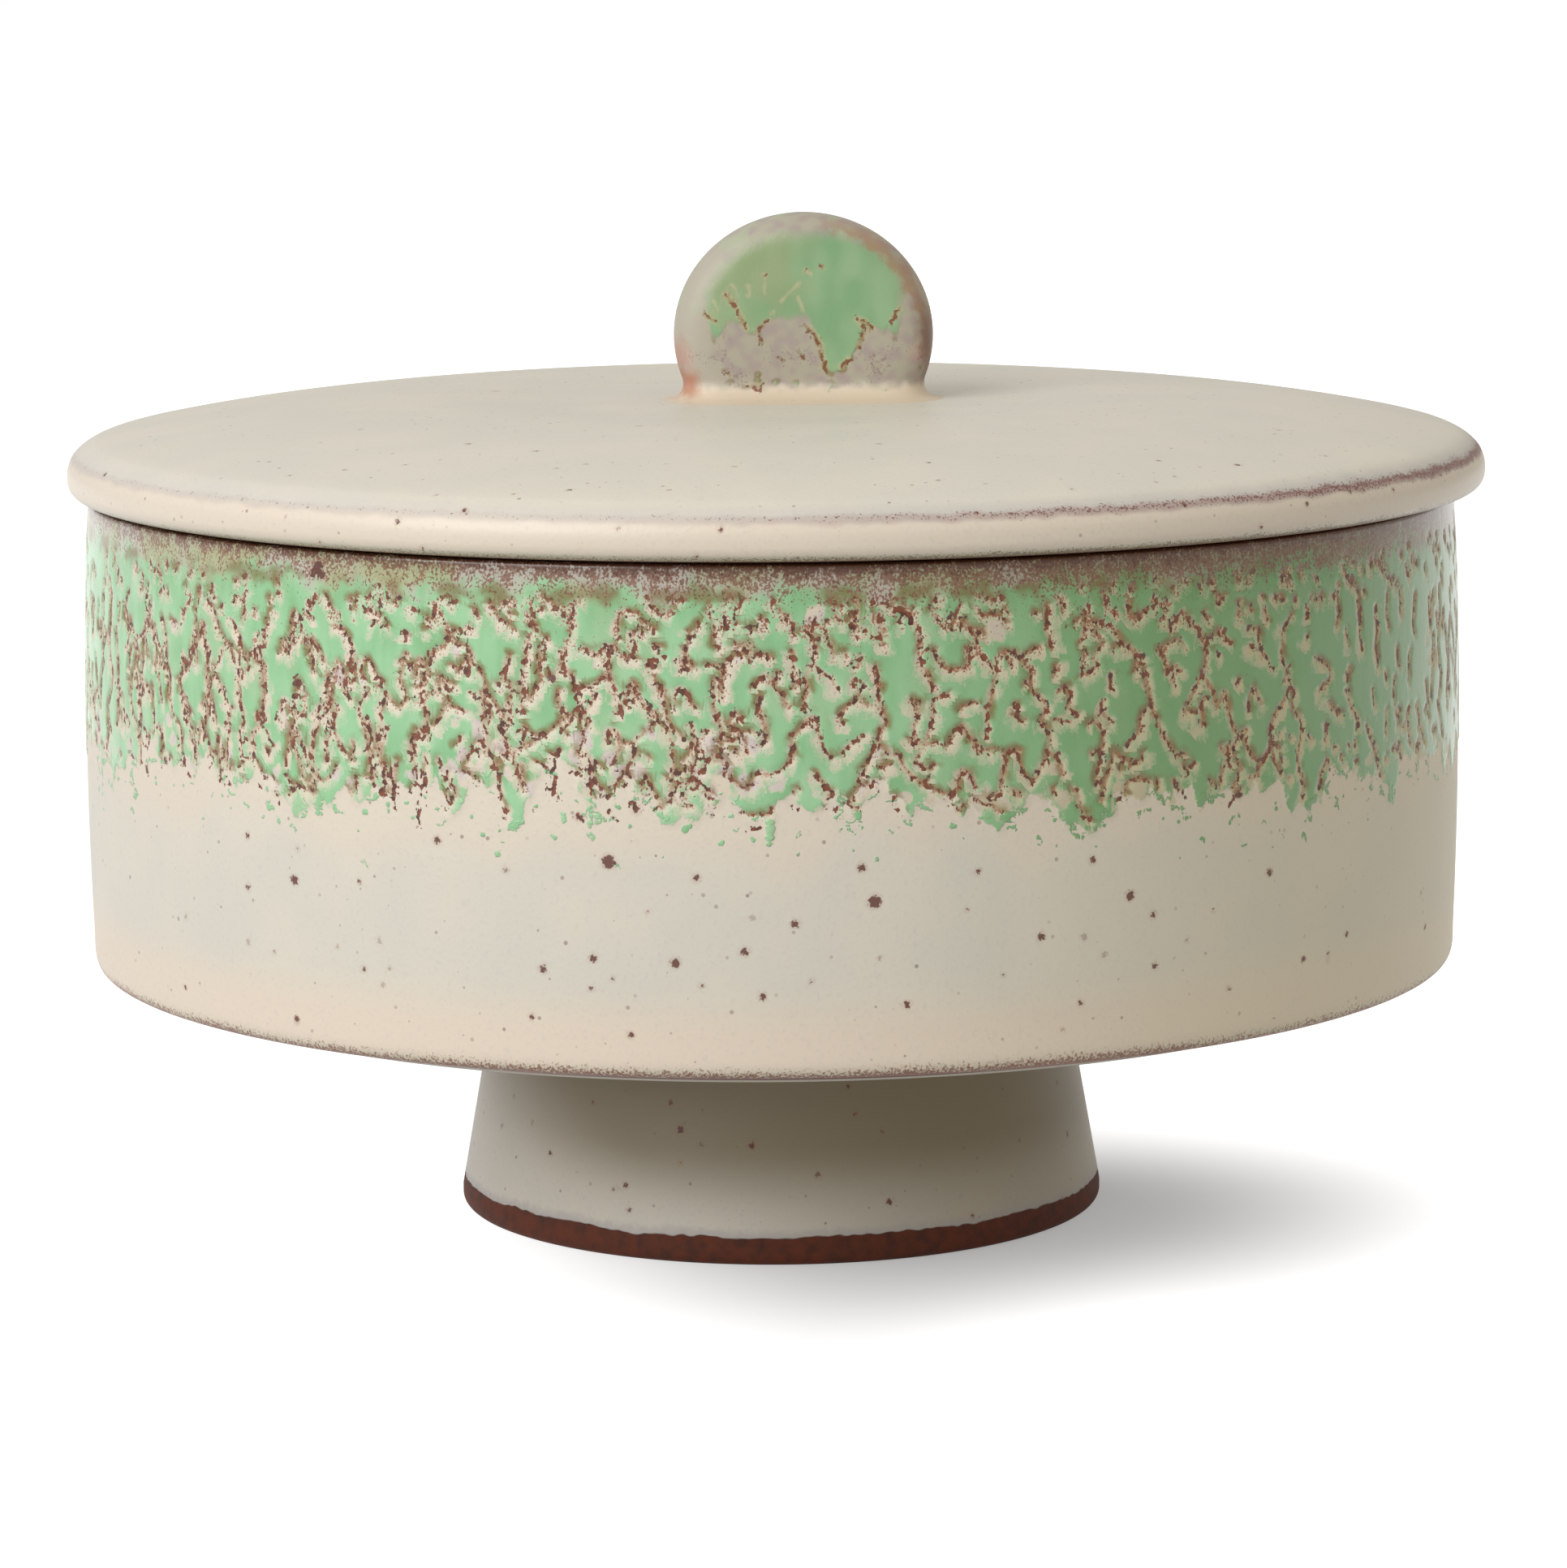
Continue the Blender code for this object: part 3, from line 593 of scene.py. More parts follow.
def items_of(texts):
    """Each item of the texts for the three views, with its view."""
    return [(view, item) for view, text in zip(WALL_VIEWS, texts) for item in items(text)]


def front_marks():
    """The marks read off the photograph, as (points, half width, halo reach) in mm."""
    kinds = {"+": (0.17, 0.42), "-": (0.09, 0.3), "*": (0.26, 0.5)}
    marks = []
    for view, item in items_of(FRONT_MARKS):
        width, reach = kinds.get(item[0], (0.13, 0.36))
        points = [on_wall(view, *numbers(pair)) for pair in item.lstrip("+-*").split()]
        marks.append(([point for point in points if point], width, reach))
    return [mark for mark in marks if mark[0]]


def front_spots(texts):
    """Spots read off the photograph, as (way round the wall, height, reach), all in mm."""
    spots = []
    for view, item in items_of(texts):
        x, y, reach = numbers(item)
        place = on_wall(view, x, y)
        if place:
            spots.append((*place, reach / view[2] / PX_PER_MM))
    return spots


def speck_list(text, turned, outside):
    """Specks read off the photograph, as add_specks takes them, where sight lines meet the piece."""
    run = np.linspace(0, turned.run[-1], 6000)
    radii = np.interp(run, turned.run, turned.radii)
    heights = np.interp(run, turned.run, turned.heights)
    specks = []
    for item in items(text):
        x, y, radius, *tone = numbers(item)
        place = struck(x, y, outside, turned.shift_x)
        if place is not None:
            across = place[0] - turned.shift_x
            spot = run[np.argmin(np.hypot(radii - math.hypot(across, place[1]), heights - place[2]))]
            specks.append((math.atan2(place[1], across), spot, radius, tone[0] if tone else 1.0))
    return specks


def spot_field(sheet, spots):
    """1 in the middle of each spot, falling to 0 well outside it."""
    field = np.zeros(sheet.shape)
    for along, z, reach in spots:
        columns = np.flatnonzero(np.abs(sheet.along - along) < 3 * reach + 1)
        rows = np.flatnonzero(np.abs(sheet.z - z) < 3 * reach + 1)
        apart = np.hypot(sheet.along[columns][None, :] - along, sheet.z[rows][:, None] - z)
        part = np.ix_(rows, columns)
        field[part] = np.maximum(field[part], np.exp(-((apart / reach) ** 2) * 0.7))
    return field


def bent_leg(random, side, length, lean):
    """One side of an arch that the glaze left as it ran down: it leans out and curves."""
    share = np.linspace(0, 1, 5)[1:]
    flare = random.uniform(-0.1, 0.3)
    across = side * (0.25 + math.tan(lean) * length * (share + flare * share**2))
    return [(a, -length * s) for a, s in zip(across, share)]


def arch(random, along, z, big):
    """Two legs that lean apart from one top. Either may be missing."""
    height = random.uniform(1.6, 4.8) * big
    lean = random.uniform(0.12, 0.55)
    legs = []
    for side in (-1, 1):
        if random.uniform() < 0.78:
            part = height * random.uniform(0.45, 1.1)
            points = [(0.0, 0.0), *bent_leg(random, side, part, lean)]
            legs.append(([(along + a, z + b) for a, b in points], 0.14, 0.38))
    return legs


def streak(random, along, z, big):
    """A swaying line down the wall."""
    height = random.uniform(1.4, 5.6) * big
    sway = np.cumsum(random.normal(0, 0.28, 5)) + np.linspace(0, random.normal(0, 0.5), 5)
    return [([(along + a, z + 0.5 - height * i / 4) for i, a in enumerate(sway)], 0.15, 0.38)]


def hook(random, along, z):
    """A small round-topped arch."""
    points = [(-0.9, -1.2), (-0.55, -0.2), (0.0, 0.15), (0.5, -0.25), (0.8, -1.1)]
    size = random.uniform(0.6, 1.2)
    return [([(along + a * size, z + b * size) for a, b in points], 0.14, 0.42)]


def dot(random, along, z):
    """A short blob."""
    return [([(along, z), (along + 0.1, z - 0.5)], random.uniform(0.18, 0.28), 0.5)]


def strokes(random, count, heights, in_front, lengths, sway, steep, *sizes):
    """Short strokes scattered all round between two heights, of which the front keeps a share."""
    alongs = random.uniform(-ROUND_WALL / 2, ROUND_WALL / 2, count)
    levels = random.uniform(*heights, count)
    kept = (random.uniform(size=count) < in_front) | (np.abs(alongs) > FRONT_REACH)
    marks = []
    for along, z in zip(alongs[kept], levels[kept]):
        length = random.uniform(*lengths)
        marks.append(([(along, z), (along + random.normal(0, sway) * length, z - length * steep)], *sizes))
    return marks


def random_marks(random):
    """Brown marks all round the band: lists of points, the line's half width and its halo's reach."""
    marks = []
    for row, level in enumerate(MARK_LEVELS):
        for column in range(MARK_COLUMNS):
            along = (column + 0.5 * (row % 2) + random.uniform(-0.36, 0.36)) * ROUND_WALL / MARK_COLUMNS
            z = level + random.uniform(-1.3, 1.3)
            kind = random.uniform()
            if abs(along) < FRONT_REACH:
                continue
            big = 1.25 if row else 0.8
            if kind < ARCHES_BELOW:
                marks += arch(random, along, z, big)
            elif kind < STREAKS_BELOW:
                marks += streak(random, along, z, big)
            elif kind < HOOKS_BELOW:
                marks += hook(random, along, z)
            else:
                marks += dot(random, along, z)
    marks += strokes(random, 330, (63.5, 68.2), 0.3, (0.2, 1.7), 0.2, 1.0, 0.15, 0.36)
    marks += strokes(random, 620, (68.0, 71.9), 0.9, (0.1, 0.5), 0.5, 1.0, 0.16, 0.3)
    marks = [
        mark
        for mark in marks
        if not FRONT_REACH < abs(mark[0][0][0]) < SPARSE_REACH or random.uniform() < 0.6
    ]
    return marks + strokes(random, 420, (51.3, 56.0), 0.6, (0.15, 0.9), 0.7, 0.7, 0.12, 0.34)


def line_samples(points, sizes):
    """Close samples along a line, or its one dot, each with its sizes."""
    path = smooth_curve(points, LINE_PITCH) if len(points) > 1 else np.array(points, float)
    return np.hstack([path, np.tile(sizes, (len(path), 1))])


def inked(sheet, marks, wander):
    """Every mark as close samples: along, z, half width, halo reach. Those by the back's seam come twice."""
    samples = np.vstack([line_samples(points, sizes) for points, *sizes in marks])
    drift = [sheet.read(cloud, samples[:, 0], samples[:, 1]) for cloud in wander]
    samples[:, 0] += drift[0] * 0.12 + drift[2] * 0.15
    samples[:, 1] += drift[1] * 0.12 + drift[3] * 0.15
    seam = samples[np.abs(samples[:, 0]) > ROUND_WALL / 2 - 3.0]
    return np.vstack([samples, seam - np.sign(seam[:, :1]) * (ROUND_WALL, 0, 0, 0)])


def nearest(samples, places):
    """For each place: its offset from the nearest sample with the sample's first size, the distance, and the
    sample's other size."""
    tree = KDTree(len(samples))
    for index, sample in enumerate(samples):
        tree.insert((sample[0], sample[1], 0.0), index)
    tree.balance()
    index, apart = zip(*(tree.find((across, up, 0.0))[1:] for across, up in places.tolist()))
    found = samples[list(index)]
    return np.column_stack([places - found[:, :2], found[:, 2]]), np.array(apart), found[:, -1]


def nearest_on_band(samples, along, z, top):
    """The same for the whole wall: nothing is near below the band, or above top."""
    offset = np.full((*z.shape, 3), (FAR, FAR, 0.0))
    apart, other = np.full(z.shape, FAR), np.zeros(z.shape)
    part = (z > BAND_LOW) & (z < top)
    offset[part], apart[part], other[part] = nearest(samples, np.column_stack([along[part], z[part]]))
    return offset, apart, other


def drop_marks(sheet, level, random):
    """Green drops and squiggles by the fringe: lists of points, with the drop's radius."""
    drops = []
    for along, z, reach in front_spots(FRONT_DROPS):
        radius = reach * 0.85
        drops.append(([(along, z)], min(radius, 0.3), 0.0))
        if radius > 0.3:
            out = radius - 0.25
            ring = [(along + out * math.cos(a), z + out * math.sin(a)) for a in range(7)]
            drops += [([place], 0.25, 0.0) for place in ring]
    for _ in range(900):
        spot = random.uniform(-math.pi, math.pi) * BELLY_RADIUS
        if abs(spot) < FRONT_REACH and random.uniform() < 0.55:
            continue
        low = np.interp(spot, sheet.along, level) + 0.4 - random.exponential(1.5)
        size = random.uniform(0.05, 0.45)
        turn = random.uniform(-1.4, 1.4)
        points = [(spot - size, low), (spot, low - size * turn * 0.5), (spot + size, low + size * turn)]
        drops.append((points, random.uniform(0.06, 0.17), 0.0))
    return drops


def fringe_level(sheet, random):
    """The height of the band's lower fringe along the wall, with its drips."""
    slow = sheet.blurred(np.tile(random.standard_normal(sheet.shape[1]), (sheet.shape[0], 1)), 7.0, 0.01)[0]
    level = FRINGE_Z + slow / slow.std() * 0.75
    half = ROUND_WALL / 2
    for middle in np.arange(-half, half, 4.2):
        middle += random.uniform(-1.7, 1.7)
        width = random.uniform(0.7, 1.7)
        drop = random.uniform(0.3, 1.0) ** 2 * 3.6
        apart = (sheet.along - middle + half) % (2 * half) - half
        level = level - drop * np.exp(-(np.abs(apart / width) ** 2.5))
    seen = [on_wall(view, *numbers(item)) for view, item in items_of(FRONT_FRINGE)]
    front = np.interp(sheet.along, *np.array(sorted(filter(None, seen))).T)
    share = np.clip((FRONT_REACH - np.abs(sheet.along)) / 3, 0, 1)
    return level + (front - level) * share


def band_fields(along, z):
    """What the run glaze's material reads at places on the wall."""
    random = np.random.default_rng(7)
    sheet = Sheet(SHEET_COLUMNS, SHEET_LOW, SHEET_HIGH, SHEET_STEP)
    wander = [sheet.cloud(random, size, size) for size in (0.55, 0.55, 1.8, 1.8)]
    streaks = sheet.cloud(random, 0.7, 3.5)
    patches = sheet.cloud(random, 1.7, 1.5)
    ragged = sheet.cloud(random, 0.55, 0.8) * 0.4 + sheet.cloud(random, 0.3, 0.35) * 0.25
    marks = inked(sheet, random_marks(random) + front_marks(), wander)
    mark, apart, reach = nearest_on_band(marks, along, z, math.inf)
    level = fringe_level(sheet, random)
    drops = inked(sheet, drop_marks(sheet, level, random), wander)
    drop, drop_apart, _ = nearest_on_band(drops, along, z, DROPS_TOP_Z)
    above = sheet.z[:, None] - level[None, :] + ragged + streaks * 0.5
    low_part = np.clip((BARER_Z - sheet.z) / 4.5, 0, 1)[:, None]
    bare = patches + low_part * 1.3 - 1.9 - np.clip((sheet.z[:, None] - BARER_Z) / 9.0, 0, 1) * 0.5
    front = np.clip((FRONT_REACH - np.abs(sheet.along)) / 4, 0, 1)
    seen = spot_field(sheet, front_spots(FRONT_PALE)) * 2.4 - 1.35 + patches * 0.2
    bare = bare + (seen - bare) * front
    above, bare = sheet.read(above, along, z), sheet.read(bare, along, z)
    fields = {"mark": mark, "apart": apart, "reach": reach, "drop": drop, "drop_apart": drop_apart}
    return fields | {"above": above, "bare": bare}


# Fields: values in a node tree


class Field:
    """A value or vector in a shader's node tree. Arithmetic on fields adds the nodes that compute it."""

    def __init__(self, tree, socket):
        self.tree = tree
        self.socket = socket

    def math(self, operation, *others):
        node = self.tree.nodes.new("ShaderNodeMath")
        node.operation = operation
        for slot, value in zip(node.inputs, (self, *others)):
            feed(self.tree, slot, value)
        return Field(self.tree, node.outputs[0])

    def vector(self, operation, *others):
        node = self.tree.nodes.new("ShaderNodeVectorMath")
        node.operation = operation
        for slot, value in zip(node.inputs, (self, *others)):
            feed(self.tree, slot, value)
        return Field(self.tree, node.outputs["Value" if operation == "LENGTH" else "Vector"])

    def __add__(self, other):
        return self.math("ADD", other)

    def __sub__(self, other):
        return self.math("SUBTRACT", other)

    def __mul__(self, other):
        return self.math("MULTIPLY", other)

    def __rsub__(self, other):
        return self.math("MULTIPLY_ADD", -1.0, other)

    def most(self, other):
        return self.math("MAXIMUM", other)

    def least(self, other):
        return self.math("MINIMUM", other)

    def step(self, low, high):
        """0 below low, 1 above high and smooth between; with low above high it falls instead."""
        node = self.tree.nodes.new("ShaderNodeMapRange")
        node.interpolation_type = "SMOOTHSTEP"
        for slot, value in zip(node.inputs, (self, low, high, 0.0, 1.0)):
            feed(self.tree, slot, value)
        return Field(self.tree, node.outputs[0])

    def parts(self):
        node = self.tree.nodes.new("ShaderNodeSeparateXYZ")
        feed(self.tree, node.inputs[0], self)
        return [Field(self.tree, output) for output in node.outputs]


def feed(tree, slot, value):
    """Links a field to a socket, or sets a plain value on it."""
    if isinstance(value, Field):
        tree.links.new(value.socket, slot)
    elif hasattr(value, "__len__") and slot.type == "RGBA":
        slot.default_value = (*value, 1.0)
    else:
        slot.default_value = value


def mix(share, first, second):
    """A colour that goes from first to second with share."""
    tree = next(value.tree for value in (share, first, second) if isinstance(value, Field))
    node = tree.nodes.new("ShaderNodeMix")
    node.data_type = "RGBA"
    for index, value in ((0, share), (6, first), (7, second)):
        feed(tree, node.inputs[index], value)
    return Field(tree, node.outputs[2])


def cells_of(place, size, stretch, seed):
    """Texture coordinates with one unit to size mm, and to stretch times that upright."""
    scale = (1 / size, 1 / size, 1 / (size * stretch))
    return place.vector("MULTIPLY_ADD", scale, (seed * 7.31, seed * 3.17, seed * 5.71))


def textured(kind, place, size, stretch, seed):
    """A texture node of that kind with features of about size mm."""
    node = place.tree.nodes.new(kind)
    feed(place.tree, node.inputs["Vector"], cells_of(place, size, stretch, seed))
    node.inputs["Scale"].default_value = 1.0
    return node


def noise(place, size, stretch=1.0, seed=0, detail=0.0):
    """Soft noise, mostly from -1 to 1."""
    node = textured("ShaderNodeTexNoise", place, size, stretch, seed)
    node.inputs["Detail"].default_value = detail
    return Field(place.tree, node.outputs[0]).math("MULTIPLY_ADD", 3.4, -1.7)


def cells(place, size, seed):
    """Distance in mm to the nearest of some scattered points, and that point's three random numbers."""
    node = textured("ShaderNodeTexVoronoi", place, size, 1.0, seed)
    distance = Field(place.tree, node.outputs["Distance"]) * size
    return distance, Field(place.tree, node.outputs["Color"]).parts()


def stored(place, name, output="Fac"):
    """A field that the mesh keeps at its vertices."""
    node = place.tree.nodes.new("ShaderNodeAttribute")
    node.attribute_name = name
    return Field(place.tree, node.outputs[output])


def wobble(place, size, reach, seed):
    """A random offset in mm, mostly well under reach, with features of about size mm."""
    node = textured("ShaderNodeTexNoise", place, size, 1.0, seed)
    colour = Field(place.tree, node.outputs["Color"])
    return colour.vector("MULTIPLY_ADD", (2 * reach, 2 * reach, 0), (-reach, -reach, 0))


def gap_to(place, name, shift):
    """The stored offset to the nearest mark, shifted: its length and parts, and the mark's size.

    The distance is stored too. It keeps the places halfway between two marks, where their offsets cancel out,
    from looking near.
    """
    offset = stored(place, name, "Vector")
    across, up, size = offset.parts()
    near = offset.vector("MULTIPLY_ADD", (1.0, 1.0, 0.0), shift).vector("LENGTH")
    distance = stored(place, {"mark": "apart", "drop": "drop_apart"}[name])
    return near.most(distance - 0.18), across, up, size


def veins(place, fine, grit):
    """Brown lines in the glaze: the distance to the nearest, the way to its green side, the line's share."""
    apart, across, up, width = gap_to(place, "mark", wobble(place, 0.8, 0.22, 51))
    side = up * 0.75 + across * noise(place, 4.0, 2.0, seed=57)
    bead = noise(place, 0.45, 1.3, seed=52)
    inward = width * (bead * 2.8 + 0.4) - apart + grit * 0.2 + fine * 0.1
    return apart, side, inward.step(-0.06, 0.08) * width.step(0.0, 0.05)


def rgb(red, green, blue):
    """An sRGB colour from 0 to 255 as linear values."""
    return tuple(
        value / 255 / 12.92 if value <= 10 else ((value / 255 + 0.055) / 1.055) ** 2.4
        for value in (red, green, blue)
    )


CREAM = rgb(217, 210, 195)
PEACH = rgb(223, 209, 190)
GREY_CREAM = rgb(211, 206, 193)
PALE = rgb(220, 207, 186)
MAUVE_WHITE = rgb(208, 196, 190)
GREEN = rgb(158, 206, 158)
DEEP_GREEN = rgb(132, 186, 132)
OLIVE = rgb(124, 102, 50)
BROWN = rgb(122, 66, 40)
DARK_BROWN = rgb(78, 40, 28)
RED_BROWN = rgb(160, 106, 72)
LAVENDER = rgb(178, 172, 172)
GREY_BLUE = rgb(172, 171, 172)
SHADED_YELLOW_CREAM = rgb(214, 202, 165)
GREY_DOT = rgb(140, 132, 126)
PIT = rgb(124, 98, 86)
SPECK = rgb(92, 48, 38)
# The wall: its green, its mouth and its heel
PALE_GREEN = rgb(172, 198, 156)
SHADED_GREEN = rgb(110, 152, 90)
SHADED_PALE = rgb(189, 179, 136)
STAIN = rgb(164, 104, 66)
DOT_BROWN = rgb(140, 84, 58)
MOUTH_MAUVE = rgb(198, 184, 178)
MOUTH_YELLOW = rgb(178, 172, 134)
SHADED_MOUTH = rgb(152, 146, 112)
DUST = rgb(136, 92, 70)
DARK_DUST = rgb(88, 52, 40)
MOUTH_BROWN = rgb(96, 56, 38)
HEEL_PALE = rgb(200, 200, 172)
HEEL_BROWN = rgb(126, 72, 56)
HEEL_LINE = rgb(94, 48, 34)
# The lid's rim and lower edge
RIM_PINK = rgb(160, 124, 116)
RIM_BROWN = rgb(112, 62, 52)
EDGE_PALE = rgb(196, 194, 172)
EDGE_BROWN = rgb(112, 74, 56)
LOWEST_BROWN = rgb(112, 80, 60)
# The foot, and its painted shade
FOOT_SHADE = rgb(136, 122, 94)
FOOT_RIGHT_SHADE = rgb(124, 106, 68)
CLAY = rgb(97, 40, 10)
DARK_CLAY = rgb(62, 26, 9)
# The knob
KNOB_ROOT = rgb(208, 190, 164)
KNOB_PALE = rgb(171, 165, 146)
KNOB_MAUVE = rgb(164, 151, 144)
KNOB_LEFT = rgb(175, 168, 152)
KNOB_PINK = rgb(196, 156, 146)
KNOB_GREENISH = rgb(166, 180, 146)
KNOB_PURPLE = rgb(126, 100, 98)
KNOB_GREEN = rgb(142, 174, 132)
KNOB_DEEP_GREEN = rgb(124, 163, 119)
KNOB_DULL_GREEN = rgb(150, 158, 116)
KNOB_HALO = rgb(190, 180, 144)
KNOB_STREAK = rgb(164, 124, 94)
KNOB_EDGE = rgb(108, 62, 46)
KNOB_RUST = rgb(176, 112, 80)
KNOB_BLUSH = rgb(180, 132, 116)


def place_in(tree):
    """The shaded place on the piece at rest, in mm."""
    coordinates = tree.nodes.new("ShaderNodeTexCoord")
    return Field(tree, coordinates.outputs["Object"]).vector("MULTIPLY", (1 / MM,) * 3)


def show(tree, kind, socket):
    """Ends a node tree in an output of that kind."""
    output = tree.nodes.new(kind)
    tree.links.new(socket, output.inputs["Surface"])


def new_material(name):
    """An empty material and its place."""
    material = bpy.data.materials.new(name)
    material.use_nodes = True
    material.node_tree.nodes.clear()
    return material, place_in(material.node_tree)


def finish_shader(material, colour, roughness, height):
    """Colour, roughness, and a bump from a height in mm, on a plain glaze shader."""
    tree = material.node_tree
    bump = tree.nodes.new("ShaderNodeBump")
    bump.inputs["Strength"].default_value = 1.0
    bump.inputs["Distance"].default_value = MM
    feed(tree, bump.inputs["Height"], height)
    shader = tree.nodes.new("ShaderNodeBsdfPrincipled")
    shader.inputs["IOR"].default_value = 1.5
    feed(tree, shader.inputs["Base Color"], colour)
    feed(tree, shader.inputs["Roughness"], roughness)
    tree.links.new(bump.outputs["Normal"], shader.inputs["Normal"])
    show(tree, "ShaderNodeOutputMaterial", shader.outputs["BSDF"])
    return material


def speck_shade(place, colour):
    """Iron specks with ragged rims, from each vertex's offset to the nearest speck and its radius."""
    speck = stored(place, "speck", "Vector")
    radius = speck.parts()[2]
    shifted = speck.vector("MULTIPLY_ADD", (1.0, 1.0, 0.0), wobble(place, 0.28, 0.4, 25))
    inward = radius * 0.92 - shifted.vector("LENGTH")
    tone = stored(place, "speck_tone")
    inward = inward.least(radius + 0.3 - stored(place, "speck_apart"))
    colour = mix(inward.step(-0.45, 0.1) * tone * 0.25, colour, RED_BROWN)
    return mix(inward.step(-0.05, 0.1) * tone * 0.94, colour, SPECK)


def cream_ground(place, warmth):
    """The cream glaze: faint grey clouds and grain, and soft spots. Returns its colour and its grain."""
    clouds = noise(place, 11.0, seed=21, detail=2.0).step(-0.8, 0.8)
    colour = mix(clouds, CREAM, GREY_CREAM)
    colour = mix(warmth, colour, PEACH)
    grain = noise(place, 0.42, seed=22, detail=1.0)
    colour = mix(grain.step(0.0, 1.4) * 0.2, colour, GREY_BLUE)
    soft, random = cells(place, 3.1, seed=23)
    colour = mix(soft.step(0.5, 0.1) * random[0].step(0.5, 1.0) * 0.15, colour, GREY_BLUE)
    dots = noise(place, 0.24, seed=26, detail=1.0).step(0.85, 1.3)
    colour = mix(dots * 0.3, colour, GREY_DOT)
    pits, chance = cells(place, 1.2, seed=27)
    pit = (chance[1] * 0.16 + 0.05 - pits).step(-0.05, 0.05) * chance[2].step(0.62, 0.66)
    return mix(pit * (chance[0] * 0.5 + 0.2), colour, PIT), grain


def wall_material():
    material, place = new_material("wall_glaze")
    x, y, z = place.parts()
    swell = noise(place, 8.0, 2.0, seed=31)
    fine = noise(place, 0.3, 1.2, seed=32, detail=1.0)
    middling = noise(place, 0.9, 1.4, seed=33)
    streak = noise(place, 0.8, 6.0, seed=34)
    grit = noise(place, 0.17, 1.2, seed=45, detail=1.0)
    under_band = (z + swell * 2.5).step(44.5, 50.0) * 0.7
    ground, grain = cream_ground(place, z.step(36.0, 30.5).most(under_band))
    # Painted shade: the cream ground turns yellower and darker towards the right side.
    ground = mix(x.step(5.0, 55.0) * 0.35, ground, SHADED_YELLOW_CREAM)

    apart, side, line = veins(place, fine, grit)
    ragged = fine * 0.14 + grit * 0.1
    halo = (stored(place, "reach") * (middling * 0.6 + 1.0) - apart - side * 0.7 + ragged).step(-0.4, 0.4)
    drop_gap, _, _, drop_size = gap_to(place, "drop", wobble(place, 0.3, 0.2, 46))
    inward = drop_size - drop_gap
    drops = inward.step(-0.05, 0.05)
    inside = (stored(place, "above") + fine * 0.3 + middling * 0.35).step(-0.1, 0.35)
    bare = (stored(place, "bare") + middling * 0.6 + fine * 0.25).step(-0.2, 0.6)
    pale_share = halo.most(bare)
    green_share = drops.most(inside * (1.0 - pale_share))

    pale = mix(bare * noise(place, 1.7, seed=35).step(-0.8, 0.5), PALE, MAUVE_WHITE)
    pale = mix((fine + middling * 0.5).step(0.5, 1.4) * 0.45, pale, GREY_BLUE)
    green = mix((streak * 0.2 + noise(place, 2.6, 1.6, seed=36) * 0.7).step(-0.9, 0.9), GREEN, DEEP_GREEN)
    green = mix(noise(place, 3.4, 1.6, seed=58).step(0.0, 0.9) * 0.4, green, PALE_GREEN)
    # Painted shade: the green and the pale glaze turn duller and darker towards the right and the back.
    shady = (x + y * 0.3).step(-25.0, 22.0) * 0.8
    green = mix(shady, green, SHADED_GREEN)
    pale = mix(shady, pale, SHADED_PALE)
    colour = mix(inside * pale_share, ground, pale)
    colour = mix(green_share, colour, green)
    patchy = noise(place, 2.2, seed=37).step(-0.6, 0.3)
    olive = side.step(-0.1, 0.1) * (apart + middling * 0.2 + fine * 0.06).step(0.95, 0.2) * patchy * inside
    colour = mix(olive * 0.85, colour, OLIVE)
    stain = (0.18 - apart + fine * 0.16 + grit * 0.14).step(-0.1, 0.16)
    colour = mix(stain * inside * (x.step(-30.0, 20.0) * 0.2 + 0.4), colour, STAIN)
    near = (0.9 - apart).most(0.0) * 0.6
    dots = (grit * 0.7 + fine * 0.55 + pale_share * 0.3 + near + (z - 68.0) * 0.03).step(0.7, 0.95)
    colour = mix(dots * inside * 0.75, colour, DOT_BROWN)
    brown = mix(noise(place, 0.5, seed=38).step(-0.4, 0.7), BROWN, DARK_BROWN)
    colour = mix(line, colour, brown)

    level = z + noise(place, 1.6, seed=40) * 0.3
    mauve = (level + noise(place, 4.5, 1.4, seed=39) * 1.4 + middling * 0.5 + fine * 0.4).step(70.9, 72.8)
    rim_pale = mix(noise(place, 5.0, seed=59).step(-0.5, 0.5), MOUTH_MAUVE, MOUTH_YELLOW)
    # Painted shade: the pale glaze under the mouth turns grey-green and darker towards the right side.
    rim_pale = mix(x.step(0.0, 50.0) * 0.85, rim_pale, SHADED_MOUTH)
    colour = mix(mauve * (0.85 - x.step(30.0, 66.0) * 0.3) * (1.0 - line), colour, rim_pale)
    olive_rim = (level + middling * 0.4).step(70.3, 71.6) * (level + middling * 0.3).step(72.8, 71.8)
    colour = mix(olive_rim * (noise(place, 3.0, seed=47) + 0.35).step(0.0, 0.8) * 0.75, colour, OLIVE)
    dust = noise(place, 0.2, 1.2, seed=41, detail=1.0)
    grains = dust * 0.75 + fine * 0.55 + middling * 0.35
    dusted = (grains + (level - 71.5) * 0.3 + x * 0.004).step(0.1, 0.5) * level.step(66.5, 69.0)
    colour = mix(dusted * 0.85, colour, mix(dust.step(0.2, 0.9), DUST, DARK_DUST))
    deep = (grains * 0.8 + (level - 73.6 + x.least(0.0) * 0.008) * 0.9).step(-0.4, 0.6)
    colour = mix(deep * 0.85, colour, MOUTH_BROWN)

